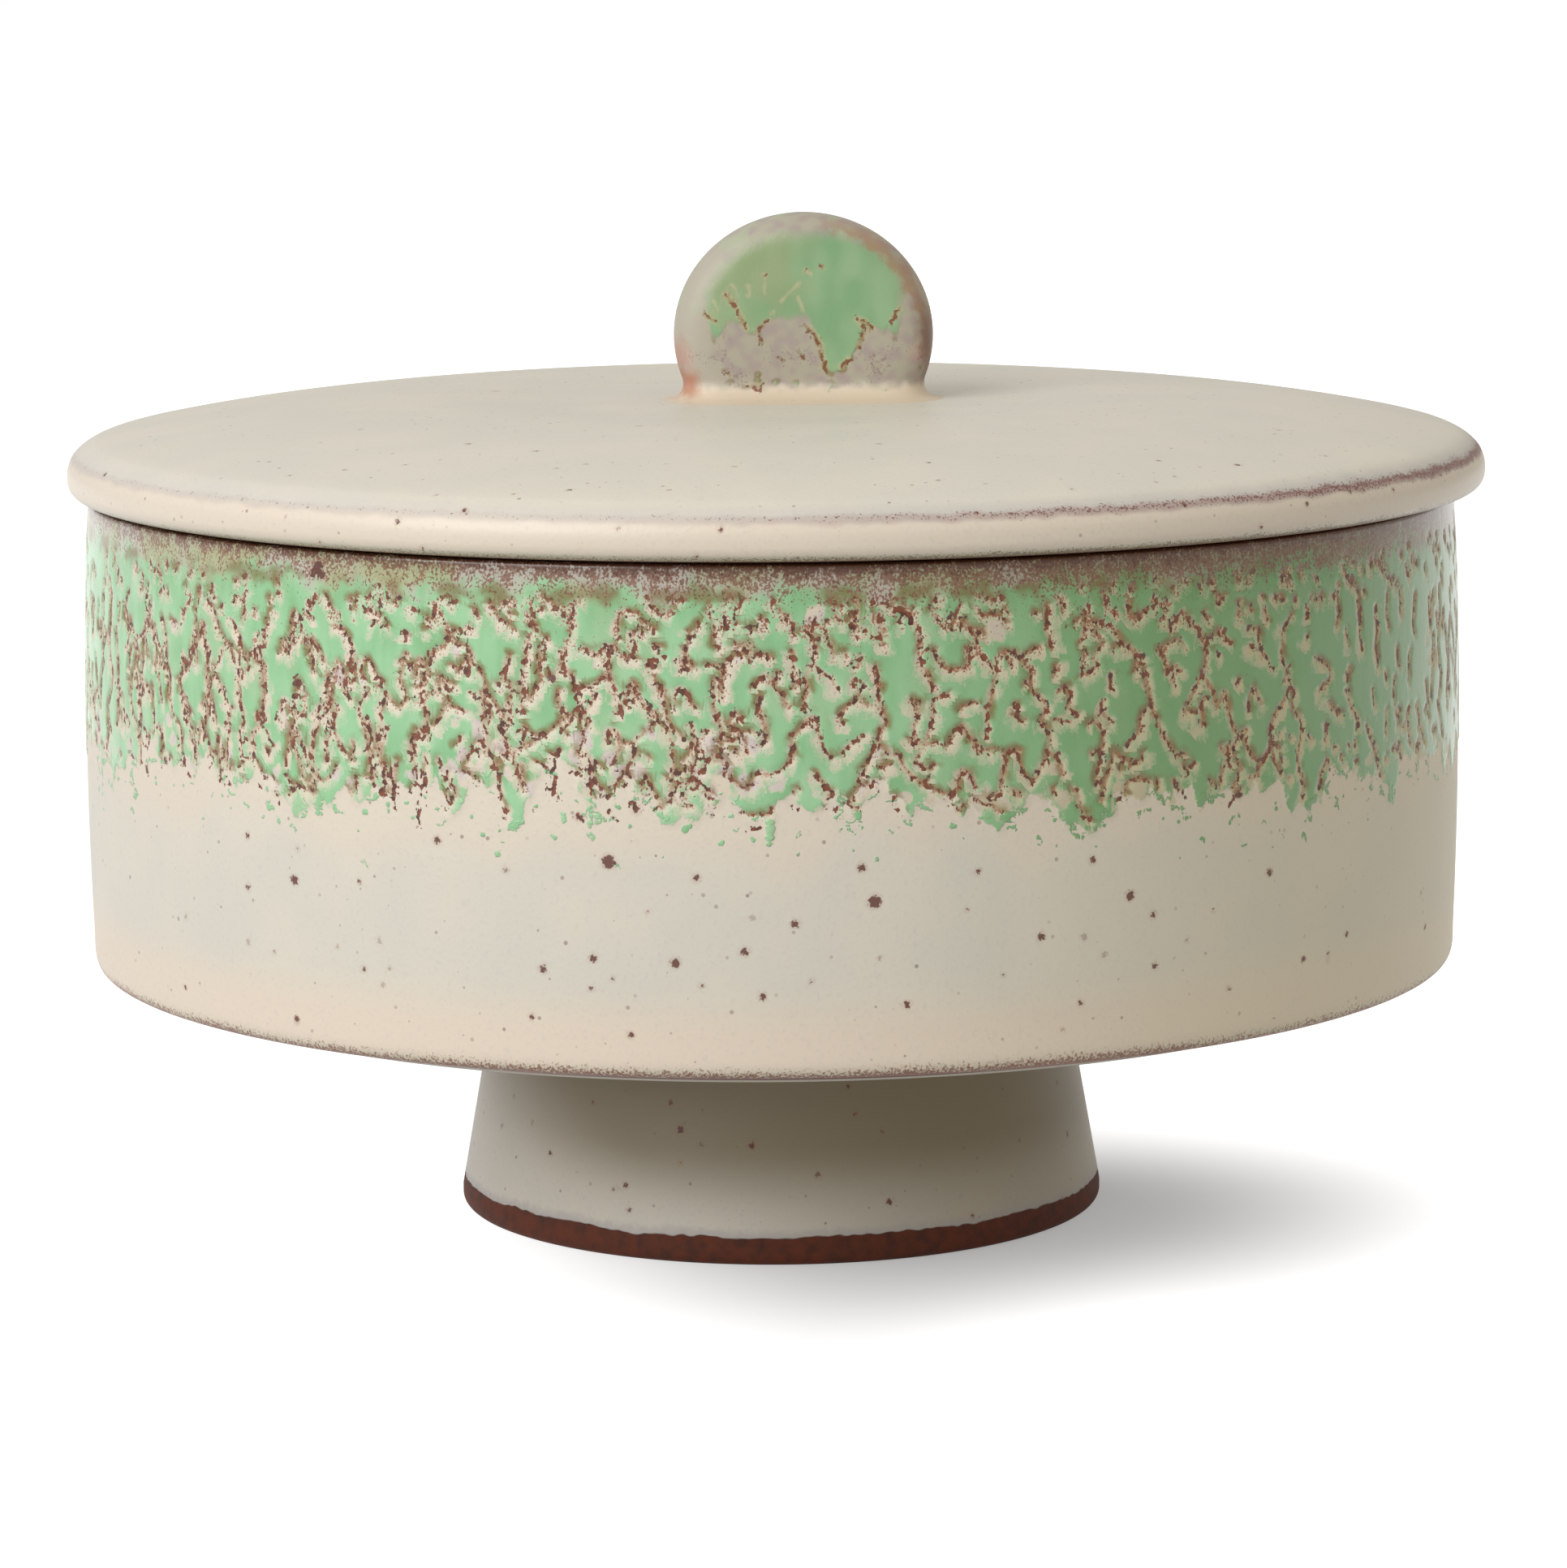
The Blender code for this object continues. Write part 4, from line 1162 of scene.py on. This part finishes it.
    below = z.step(FIRST_EDGE[1] + 1.6, FIRST_EDGE[1] + 0.4)
    colour = mix(below * 0.35, colour, HEEL_PALE)
    heel = (grit * 0.5 + fine * 0.5 + 0.6 - (z - FIRST_EDGE[1]) * 0.7 + swell * 0.15).step(-0.2, 0.4)
    colour = mix(heel * z.step(29.0, 27.0) * 0.9, colour, HEEL_BROWN)
    colour = mix((z + fine * 0.06).step(FIRST_EDGE[1] + 0.2, FIRST_EDGE[1] + 0.05) * 0.95, colour, HEEL_LINE)
    second = (z + fine * 0.1 + middling * 0.06).step(SECOND_EDGE[1] + 0.42, SECOND_EDGE[1] + 0.2)
    colour = speck_shade(place, mix(second, colour, DARK_BROWN))

    roughness = 0.52 - green_share * 0.25 - inside * 0.06
    relief = grain * 0.006 + green_share * 0.03 - line * 0.045 + inside * streak * 0.004
    return finish_shader(material, colour, roughness, relief + inward.step(-0.04, 0.2) * 0.05)


def lid_material():
    material, place = new_material("lid_glaze")
    x, _, z = place.parts()
    run = stored(place, "run")
    rim = run.step(-0.3, 0.6)
    colour, grain = cream_ground(place, rim * 0.85)
    fine = noise(place, 0.3, seed=42, detail=1.0)
    grit = noise(place, 0.17, seed=48, detail=1.0)
    slow = noise(place, 16.0, seed=43)
    wave = noise(place, 2.2, seed=44)
    worn = (x * 0.016 + slow * 0.25 - 0.1).step(-0.5, 1.0)
    near = run + wave * 0.2
    grey = near.step(-2.6, -0.2) * near.step(0.8, 0.1) * (worn * 0.4 + 0.25)
    colour = mix(grey, colour, LAVENDER)
    pink = near.math("ABSOLUTE").step(0.75, 0.1) * (worn * 0.7 + 0.12)
    colour = mix(pink, colour, RIM_PINK)
    close = worn * 0.75 - 0.15 - (near + 0.15).math("ABSOLUTE") * 0.9
    thin = (fine * 0.5 + grit * 0.7 + close).step(0.15, 0.5)
    colour = mix(thin * 0.8, colour, RIM_BROWN)
    low = run + wave * 0.15 - 3.5
    colour = mix(low.step(-0.4, 0.5) * 0.6, colour, EDGE_PALE)
    low_close = worn * 0.5 - 0.4 + low.step(-0.3, 0.7) * 0.8
    low_thin = (fine * 0.5 + grit * 0.7 + low_close).step(0.3, 0.6)
    colour = mix(low_thin * low.step(-0.6, 0.0) * 0.7, colour, EDGE_BROWN)
    colour = mix((z + fine * 0.05).step(74.95, 74.75), colour, LOWEST_BROWN)
    colour = speck_shade(place, colour)
    return finish_shader(material, colour, 0.46 - rim * 0.08, grain * 0.006)


def plain_material():
    """Cream glaze for surfaces without marks of their own, with faint rings from throwing."""
    material, place = new_material("plain_glaze")
    radius = place.vector("MULTIPLY", (1.0, 1.0, 0.0)).vector("LENGTH")
    colour, grain = cream_ground(place, 0.3)
    spots, random = cells(place, 4.2, seed=45)
    speck = (random[1] * 0.34 - 0.06 - spots).step(-0.05, 0.05) * random[2].step(0.4, 0.45)
    colour = mix(speck * 0.9, colour, BROWN)
    rings = (radius * 1.1 + noise(place, 7.0, seed=46) * 0.6).math("SINE")
    return finish_shader(material, colour, 0.5, grain * 0.008 + rings * 0.015)


def foot_material():
    material, place = new_material("foot_glaze")
    x, _, z = place.parts()
    colour, grain = cream_ground(place, 0.15)
    # Painted shade: the foot is darker on its upper part, more so towards the right, and browner and darker
    # all along its right side.
    colour = mix(z.step(3.5, 12.0) * (x + z).step(-24.0, -2.0) * 0.85, colour, FOOT_SHADE)
    colour = mix(x.step(-8.0, 26.0) * 0.4, colour, FOOT_RIGHT_SHADE)
    colour = speck_shade(place, colour)
    edge = z + noise(place, 7.0, seed=61) * 0.22 + noise(place, 1.1, seed=62) * 0.12
    halo = (edge + noise(place, 0.5, seed=63) * 0.15).step(CLAY_BAND_Z + 1.1, CLAY_BAND_Z + 0.15)
    colour = mix(halo * 0.6, colour, LAVENDER)
    bare = edge.step(CLAY_BAND_Z + 0.08, CLAY_BAND_Z - 0.08)
    clay = mix(noise(place, 1.4, seed=64, detail=2.0).step(-0.8, 1.1), CLAY, DARK_CLAY)
    colour = mix(bare, colour, clay)
    rough = noise(place, 0.25, seed=65, detail=2.0)
    relief = grain * 0.006 + bare * rough * 0.012 - bare * 0.06
    return finish_shader(material, colour, bare * 0.28 + 0.5, relief)


def knob_material():
    material, place = new_material("knob_glaze")
    x, _, z = place.parts()
    fine = noise(place, 0.3, seed=51, detail=1.0)
    grit = noise(place, 0.17, seed=49, detail=1.0)
    middling = noise(place, 1.0, seed=52)
    slow = noise(place, 3.0, seed=55)
    ground, grain = cream_ground(place, z.step(86.0, 84.0) * 0.9)
    ground = mix(z.step(86.0, 84.0) * 0.8, ground, KNOB_ROOT)
    right, up = x - KNOB_SHIFT_X, z - KNOB_MIDDLE_Z
    out = stored(place, "edge")

    pale = mix(noise(place, 1.3, seed=53).step(-0.6, 0.9), KNOB_PALE, KNOB_MAUVE)
    pale = mix((right + slow * 1.5).step(-6.0, -10.5), pale, KNOB_LEFT)
    tint = noise(place, 2.4, seed=56).step(0.1, 0.8) * (out + slow * 0.05).step(0.78, 0.9)
    pale = mix(tint * 0.5, pale, mix(up.step(-3.0, 3.0), KNOB_PINK, KNOB_GREENISH))
    inside = (z + middling * 0.3).step(84.4, 85.6)
    colour = mix(inside, ground, pale)
    purple = (fine * 0.5 + grit * 0.4 + slow * 0.4 - up * 0.03).step(0.3, 0.8) * up.step(1.0, -2.0)
    colour = mix(purple * inside * 0.6, colour, KNOB_PURPLE)

    apart, _, line = veins(place, fine, grit)
    depth = stored(place, "green") + fine * 0.1 + middling * 0.16
    halo = (stored(place, "reach") - apart + middling * 0.1 + fine * 0.04).step(-0.2, 0.25)
    soft = up.step(0.0, 5.0)
    green_share = depth.step(soft * -0.5 - 0.1, soft * 1.1 + 0.25)
    green = mix(noise(place, 2.2, 1.5, seed=54).step(-0.8, 0.9), KNOB_GREEN, KNOB_DEEP_GREEN)
    dull = (up + slow * 2.0).step(0.5, 5.0) * (right + slow * 2.0).step(2.0, -3.0) * 0.6
    green = mix(dull, green, KNOB_DULL_GREEN)
    colour = mix(green_share, colour, green)
    colour = mix(halo * depth.step(-0.6, 0.0) * 0.7, colour, KNOB_HALO)
    outline = depth.math("ABSOLUTE").step(0.4, 0.05) * up.step(1.0, -0.5) * up.step(-4.9, -4.4)
    colour = mix(outline * (middling + 0.35).step(-0.2, 0.7) * 0.6, colour, OLIVE)

    rough = middling * 0.25 + fine * 0.15
    dir_up = right * 0.066 + up * 0.052
    rim = out + rough * 0.12
    streak = rim.step(0.84, 0.92) * rim.step(1.02, 0.92) * (dir_up + rough * 0.5).step(0.55, 1.0)
    colour = mix(streak * 0.7, colour, KNOB_STREAK)
    edge = (right + up * 0.12 + rough).step(10.9, 12.7) * (up + rough).step(5.0, 0.0)
    colour = mix(edge * inside * 0.68, colour, KNOB_EDGE)
    rust = (right + rough).step(-10.0, -11.6) * (up + rough).step(-2.8, -4.4) * (up + rough).step(-6.6, -5.4)
    colour = mix(rust * 0.75, colour, KNOB_RUST)
    blush = (right + rough).step(-11.4, -12.7) * (up + rough * 3.0).step(1.0, -1.5)
    colour = mix(blush * inside * 0.5, colour, KNOB_BLUSH)
    stained = stored(place, "reach").step(0.18, 0.24)
    stain = (0.24 - apart + fine * 0.1 + grit * 0.06).step(-0.12, 0.2) * stained
    colour = mix(stain * 0.5, colour, OLIVE)
    colour = mix(line * 0.85, colour, BROWN)
    relief = grain * 0.006 + green_share * 0.05 - line * 0.04
    return finish_shader(material, colour, 0.48 - green_share * 0.16, relief)


# Meshes


def add_piece(name, mesh, material, body, nodes):
    mesh.materials.append(material)
    mesh.shade_smooth()
    piece = add_object(name, mesh)
    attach(piece, body)
    if nodes:
        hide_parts(*nodes)


def store(mesh, name, values):
    """Keeps a value, or a vector, at each vertex for the material to read."""
    values = np.asarray(values, np.float32)
    vector = values.ndim == 2
    attribute = mesh.attributes.new(name, "FLOAT_VECTOR" if vector else "FLOAT", "POINT")
    attribute.data.foreach_set("vector" if vector else "value", values.ravel())


def mesh_from(name, vertices, faces, places):
    """A mesh, in mm, with its bake map given as one place for each corner of each face."""
    mesh = bpy.data.meshes.new(name)
    mesh.from_pydata((vertices * MM).tolist(), [], faces)
    mesh.uv_layers.new(name="OFBake").uv.foreach_set("vector", np.asarray(places, np.float32).ravel())
    return mesh


class Turned:
    """A surface of revolution, as arrays with a row for each profile point and a column for each angle."""

    def __init__(self, profile, columns, shift_x=0.0):
        self.radii, self.heights = np.array(profile, float).T
        self.shift_x = shift_x
        self.columns = columns
        steps = np.hypot(np.diff(self.radii), np.diff(self.heights))
        self.run = np.concatenate([[0.0], np.cumsum(steps)])
        # Columns go from the back by the left to the front, and on by the right.
        self.angles = math.pi / 2 + np.arange(columns + 1) / columns * math.tau
        self.relief = np.zeros((len(self.radii), columns))
        self.fields = {}

    def along(self):
        """Each column's way round the wall from the front, in mm."""
        return (self.angles[:-1] - 1.5 * math.pi) * BELLY_RADIUS

    def places(self):
        across, up = np.gradient(self.radii, self.run), np.gradient(self.heights, self.run)
        radii = self.radii[:, None] - up[:, None] * self.relief
        heights = self.heights[:, None] + across[:, None] * self.relief
        angles = self.angles[:-1]
        x, y = radii * np.cos(angles) + self.shift_x, radii * np.sin(angles)
        return np.stack([x, y, heights + 0 * angles], -1)

    def add_specks(self, specks):
        """Each place's offset in mm to its nearest speck. A speck is (angle, run, radius, tone)."""
        offset = np.full((*self.relief.shape, 3), (FAR, FAR, 0.0))
        tone = np.zeros(self.relief.shape)
        best = np.full(self.relief.shape, SPECK_EDGE)
        for angle, run, radius, dark in specks:
            rows = np.flatnonzero(np.abs(self.run - run) < SPECK_REACH)
            turn = (self.angles[:-1] - angle + math.pi) % math.tau - math.pi
            reach = np.interp(run, self.run, self.radii)
            columns = np.flatnonzero(np.abs(turn * reach) < SPECK_REACH)
            if not len(rows) or not len(columns):
                continue
            part = np.ix_(rows, columns)
            across = np.broadcast_to(turn[columns] * reach, (len(rows), len(columns)))
            up = np.broadcast_to((self.run[rows] - run)[:, None], across.shape)
            distance = np.hypot(across, up) - radius
            near = distance < best[part]
            speck = np.stack([across, up, 0 * up + radius], -1)
            best[part] = np.where(near, distance, best[part])
            offset[part] = np.where(near[..., None], speck, offset[part])
            tone[part] = np.where(near, dark, tone[part])
        self.fields["speck"] = offset
        self.fields["speck_apart"] = np.hypot(offset[..., 0], offset[..., 1])
        self.fields["speck_tone"] = tone

    def build(self, name, material, body, nodes, strips=0):
        """The piece's mesh. A profile point on the axis is one vertex, with triangles round it."""
        rows, columns = self.relief.shape
        poles = self.radii < 1e-6
        index = np.empty((rows, columns + 1), int)
        pick, taken = [], 0
        for row in range(rows):
            count = 1 if poles[row] else columns
            index[row] = taken + np.arange(columns + 1) % count
            pick.append(np.s_[row, :count])
            taken += count
        places = self.places()
        vertices = np.vstack([places[spot] for spot in pick])
        faces, corners = [], []
        starts = np.arange(columns)
        for row in range(rows - 1):
            ring = [(row, 0), (row + 1, 0), (row + 1, 1), (row, 1)]
            if poles[row]:
                ring = ring[:3]
            elif poles[row + 1]:
                ring = [ring[0], ring[1], ring[3]]
            faces += np.stack([index[r, starts + step] for r, step in ring], -1).tolist()
            on_map = [self.on_map(r, starts + step, starts, strips) for r, step in ring]
            corners.append(np.stack(on_map, 1).reshape(-1, 2))
        mesh = mesh_from(name, vertices, faces, np.vstack(corners))
        for field, values in self.fields.items():
            store(mesh, field, np.concatenate([values[spot] for spot in pick]))
        add_piece(name, mesh, material, body, nodes)

    def on_map(self, row, columns, face_columns, strips):
        """Bake map places: the turned side in strips, one above another, or a disc from its middle."""
        if strips:
            per_strip = self.columns / strips
            strip = np.floor(face_columns / per_strip)
            across = MAP_MARGIN + (1 - 2 * MAP_MARGIN) * (columns - strip * per_strip) / per_strip
            up = (strip + MAP_MARGIN + (1 - 2 * MAP_MARGIN) * self.run[row] / self.run[-1]) / strips
            return np.stack([across, up], -1)
        outwards = self.run[row] if self.radii[0] < self.radii[-1] else self.run[-1] - self.run[row]
        reach = (0.5 - MAP_MARGIN) * outwards / self.run[-1]
        angles = self.angles[columns]
        return np.stack([0.5 + reach * np.cos(angles), 0.5 + reach * np.sin(angles)], -1)


def random_specks(random, count, low, high, behind=0.0):
    """Specks scattered over the side away from the photograph: angle, run, radius and tone."""
    specks = []
    for _ in range(count):
        angle = random.uniform(0.5, 2.5) * math.pi
        run = random.uniform(low, high)
        radius = 0.08 + 0.42 * random.uniform() ** 2.2
        tone = random.choice([1.0, 1.0, 0.8, 0.35])
        if math.sin(angle) > behind:
            specks.append((angle, run, radius, tone))
    return specks


def make_bowl(plain):
    outside, underside, inside = bowl_profiles()
    wall = Turned(outside, WALL_COLUMNS, BOWL_SHIFT_X)
    along = np.broadcast_to(wall.along(), wall.relief.shape)
    z = np.broadcast_to(wall.heights[:, None], wall.relief.shape)
    fields = band_fields(along, z)
    on_band = np.clip((z - BAND_LOW) / 2, 0, 1) * np.clip((RELIEF_TOP_Z - z) / 4, 0, 1)
    cover = np.clip(fields["above"] / 0.8 + 0.5, 0, 1) * np.clip(fields["apart"] / 0.5 - 0.3, 0, 1)
    wall.relief = on_band * (GLAZE_RELIEF * cover - LINE_SINK * np.clip(1 - fields["apart"] / 0.3, 0, 1))
    wall.fields = fields
    low = wall.run[np.argmin(np.abs(wall.heights - SPECKS_TOP_Z))]
    specks = speck_list(FRONT_SPECKS, wall, outside_wall)
    wall.add_specks(specks + random_specks(np.random.default_rng(11), 230, low, wall.run[-1] - 1.5, -0.05))
    wall.build("bowl_wall", wall_material(), "dish", ["bowl"], strips=3)
    for name, profile in (("bowl_underside", underside), ("bowl_inside", inside)):
        Turned(profile, HIDDEN_COLUMNS, BOWL_SHIFT_X).build(name, plain, "dish", [])


def make_foot():
    foot = Turned(foot_profile(), FOOT_COLUMNS)
    slope = (FOOT_BASE_RADIUS - FOOT_TOP_RADIUS) / (FOOT_TOP_Z - FOOT_UPRIGHT_Z)

    def outside(radius, z):
        return radius - FOOT_BASE_RADIUS + slope * (z - FOOT_UPRIGHT_Z)

    specks = speck_list(FOOT_SPECKS, foot, outside)
    foot.add_specks(specks + random_specks(np.random.default_rng(12), 40, 1.0, 22.0))
    foot.build("foot_ring", foot_material(), "dish", ["foot"], strips=2)


def make_lid(plain):
    top, under = lid_profiles()
    lid = Turned(top, LID_COLUMNS)
    arris = np.argmin(np.abs(lid.heights - LID_ARRIS_Z) + (lid.radii < 70) * 9)
    lid.fields["run"] = np.broadcast_to((lid.run - lid.run[arris])[:, None], lid.relief.shape).copy()
    widest = np.argmax(lid.radii)
    radii, heights = lid.radii[: widest + 1], lid.heights[: widest + 1]

    def outside(radius, z):
        return np.maximum(radius - LID_RADIUS + 0.05, z - np.interp(radius, radii, heights))

    specks = speck_list(LID_SPECKS, lid, outside)
    lid.add_specks(specks + random_specks(np.random.default_rng(13), 60, lid.run[arris], lid.run[-1], 0.1))
    lid.build("lid_top", lid_material(), "cover", ["lid"])
    Turned(under, HIDDEN_COLUMNS).build("lid_underside", plain, "cover", ["lid_ring"])


def depth_inside(outline, places):
    """How far in mm each place lies inside a closed outline, and below 0 outside it."""
    apart, inside = np.full(len(places), 99.0), np.zeros(len(places), bool)
    x, z = places.T
    for start, end in zip(outline, np.roll(outline, -1, 0)):
        edge, way = end - start, places - start
        share = np.clip(way @ edge / max(edge @ edge, 1e-9), 0, 1)
        apart = np.minimum(apart, np.hypot(*(way - share[:, None] * edge).T))
        crossed = (start[1] > z) != (end[1] > z)
        inside ^= crossed & (x < start[0] + (z - start[1]) * edge[0] / (edge[1] or 1e-9))
    return np.where(inside, apart, -apart)


def knob_fields(places):
    """The knob's green cover and brown lines. The back has the front's mirror image, pulled about."""
    x, y, z = places.T
    back = y > 0
    face = np.column_stack([x, z])
    mirrored = 2 * KNOB_SHIFT_X - x + 0.8 * np.sin(z * 0.9)
    face[back] = np.column_stack([mirrored, z + 0.7 * np.sin(x * 0.7 + 1.0)])[back]
    corners = [on_knob(*numbers(pair)) for pair in KNOB_COVER.split()]
    outline = smooth_curve([*corners, corners[0]], 0.3)[:-1]
    kinds = {"+": (0.18, 0.4), "-": (0.1, 0.25), "~": (-1.0, 0.16)}
    samples = []
    for item in items(KNOB_LINES):
        points = [on_knob(*numbers(pair)) for pair in item.lstrip("+-~").split()]
        samples.append(line_samples(points, kinds.get(item[0], (0.13, 0.33))))
    mark, apart, reach = nearest(np.vstack(samples), face)
    centre = np.hypot((x - KNOB_SHIFT_X) / KNOB_HALF_WIDTH, (z - KNOB_MIDDLE_Z) / KNOB_HALF_HEIGHT)
    green = depth_inside(outline, face)
    for pair in KNOB_DROPS.split():
        green = np.maximum(green, 0.2 - np.hypot(*(face - on_knob(*numbers(pair))).T))
    return {"green": green, "mark": mark, "apart": apart, "reach": reach, "edge": centre}


def knob_slice(up, angles):
    """The outline of the knob's level section at the share up of its half height, found by halving."""
    inner = np.full(len(angles), 1e-4)
    outer = np.full(len(angles), 16.0)
    for _ in range(40):
        middle = (inner + outer) / 2
        oval = (middle * np.cos(angles) / KNOB_HALF_WIDTH) ** 2 + up**2
        depth = np.abs(middle * np.sin(angles)) / KNOB_HALF_THICKNESS
        outside = oval ** (KNOB_FACE_POWER / 2) + depth**KNOB_EDGE_POWER > 1
        inner, outer = np.where(outside, inner, middle), np.where(outside, middle, outer)
    return np.column_stack([inner * np.cos(angles), inner * np.sin(angles)])


def make_knob():
    """The knob as slices stacked from its root to its top, each widened near the root into the fillet."""
    columns = KNOB_COLUMNS
    low = math.asin((LID_CENTRE_Z - KNOB_MIDDLE_Z) / KNOB_HALF_HEIGHT)
    turns = low + (math.pi / 2 - low) * (1 - (1 - np.linspace(0, 1, KNOB_SLICES)) ** KNOB_CROWDING)
    angles = np.arange(columns) / columns * math.tau
    # A slice is about three times as long as it is thick. This spaces its points evenly along faces and ends.
    angles = np.arctan2(np.sin(angles), 3.0 * np.cos(angles))
    slices = np.array([knob_slice(math.sin(turn), angles) for turn in turns])
    z = KNOB_MIDDLE_Z + KNOB_HALF_HEIGHT * np.sin(turns)
    outward = np.roll(slices, -1, 1) - np.roll(slices, 1, 1)
    outward = np.stack([outward[..., 1], -outward[..., 0]], -1)
    outward /= np.maximum(np.linalg.norm(outward, axis=-1, keepdims=True), 1e-9)
    height = np.clip((z - LID_CENTRE_Z) / FILLET_HEIGHT, 0, 1)
    spread = FILLET_SPREAD * (1 - np.sqrt(np.clip(1 - (1 - height) ** 2, 0, 1)))
    slices = slices + outward * spread[:, None, None]
    x = slices[..., 0] + KNOB_SHIFT_X
    places = np.stack([x, slices[..., 1], np.broadcast_to(z[:, None], x.shape)], -1)
    places[0, :, 2] -= KNOB_SINK
    top = (KNOB_SHIFT_X, 0.0, KNOB_MIDDLE_Z + KNOB_HALF_HEIGHT)
    vertices = np.vstack([places[:-1].reshape(-1, 3), [top]])
    fields = knob_fields(vertices)
    faces, corners = [], []
    count = len(turns) - 1
    lengths = np.linspace(KNOB_MAP_MARGIN, 1 - KNOB_MAP_MARGIN, count + 1)
    widths = np.linspace(KNOB_MAP_MARGIN, 1 - KNOB_MAP_MARGIN, columns + 1)
    for row in range(count):
        for column in range(columns):
            after = (column + 1) % columns
            left, right = widths[column], widths[column + 1]
            face = [row * columns + column, row * columns + after]
            corners += [(left, lengths[row]), (right, lengths[row])]
            if row < count - 1:
                face += [(row + 1) * columns + after, (row + 1) * columns + column]
                corners += [(right, lengths[row + 1]), (left, lengths[row + 1])]
            else:
                face.append(len(vertices) - 1)
                corners.append(((left + right) / 2, lengths[row + 1]))
            faces.append(face)
    mesh = mesh_from("knob_and_fillet", vertices, faces, corners)
    for field, values in fields.items():
        store(mesh, field, values)
    add_piece("knob_and_fillet", mesh, knob_material(), "cover", ["knob", "knob_fillet"])


# Studio


def shown_share(tree):
    """1 for what the camera or a reflection sees of the studio, and 0 for the light that it gives."""
    path = tree.nodes.new("ShaderNodeLightPath")
    return Field(tree, path.outputs["Is Camera Ray"]).most(Field(tree, path.outputs["Is Glossy Ray"]))


def make_floor():
    """A pale floor that looks white, apart from the dish's soft shadow, which is partly real and partly
    painted by a dimmer glow near the dish.
    """
    material, place = new_material("floor")
    tree = place.tree
    diffuse = tree.nodes.new("ShaderNodeBsdfDiffuse")
    diffuse.inputs["Color"].default_value = (0.38, 0.38, 0.38, 1.0)
    glow = tree.nodes.new("ShaderNodeEmission")
    x, y, _ = place.parts()
    # Painted shadow: the glow that makes the floor look white is weaker near the dish, which darkens the
    # floor beyond its real shadow.
    across, along = x - PAINTED_SHADOW_X, y - PAINTED_SHADOW_Y
    along = along.most(0.0) * 1.3 + along.least(0.0) * (x.step(0.0, 40.0) * 0.4 + 0.7)
    away = (across * across + along * along).math("SQRT").step(14.0, 66.0)
    feed(tree, glow.inputs["Strength"], shown_share(tree) * (away * 0.74 + 0.32))
    both = tree.nodes.new("ShaderNodeAddShader")
    tree.links.new(diffuse.outputs[0], both.inputs[0])
    tree.links.new(glow.outputs[0], both.inputs[1])
    show(tree, "ShaderNodeOutputMaterial", both.outputs[0])
    mesh = bpy.data.meshes.new("floor")
    angles = np.arange(FLOOR_SIDES) / FLOOR_SIDES * math.tau
    rim = [(FLOOR_RADIUS * math.cos(a), FLOOR_RADIUS * math.sin(a), 0.0) for a in angles]
    mesh.from_pydata(rim, [], [list(range(len(rim)))])
    mesh.materials.append(material)
    add_object("floor", mesh)


def make_world():
    """White to look at, and a soft even light."""
    world = bpy.data.worlds.new("studio")
    world.use_nodes = True
    tree = world.node_tree
    tree.nodes.clear()
    shown = Field(tree, tree.nodes.new("ShaderNodeLightPath").outputs["Is Camera Ray"])
    background = tree.nodes.new("ShaderNodeBackground")
    sideways = Field(tree, tree.nodes.new("ShaderNodeTexCoord").outputs["Generated"]).parts()[0]
    light = mix(sideways.step(-0.8, 0.9), (0.98, 0.98, 1.01), (1.0, 0.955, 0.84))
    feed(tree, background.inputs["Color"], mix(shown, light, (1.0, 1.0, 1.0)))
    feed(tree, background.inputs["Strength"], shown * 0.36 + 0.64)
    show(tree, "ShaderNodeOutputWorld", background.outputs[0])
    bpy.context.scene.world = world


def make_light(name, place, size, power):
    """A square soft light that faces the dish."""
    data = bpy.data.lights.new(name, "AREA")
    data.size = size
    data.energy = power
    light = add_object(name, data)
    light.rotation_mode = "QUATERNION"
    light.rotation_quaternion = (Vector((0.0, 0.0, 0.05)) - Vector(place)).to_track_quat("-Z", "Y")
    light.location = place


def main():
    bpy.context.scene.view_settings.view_transform = "Standard"
    make_camera()
    make_floor()
    make_world()
    make_light("key", KEY_PLACE, KEY_SIZE, KEY_POWER)
    plain = plain_material()
    make_bowl(plain)
    make_foot()
    make_lid(plain)
    make_knob()


main()
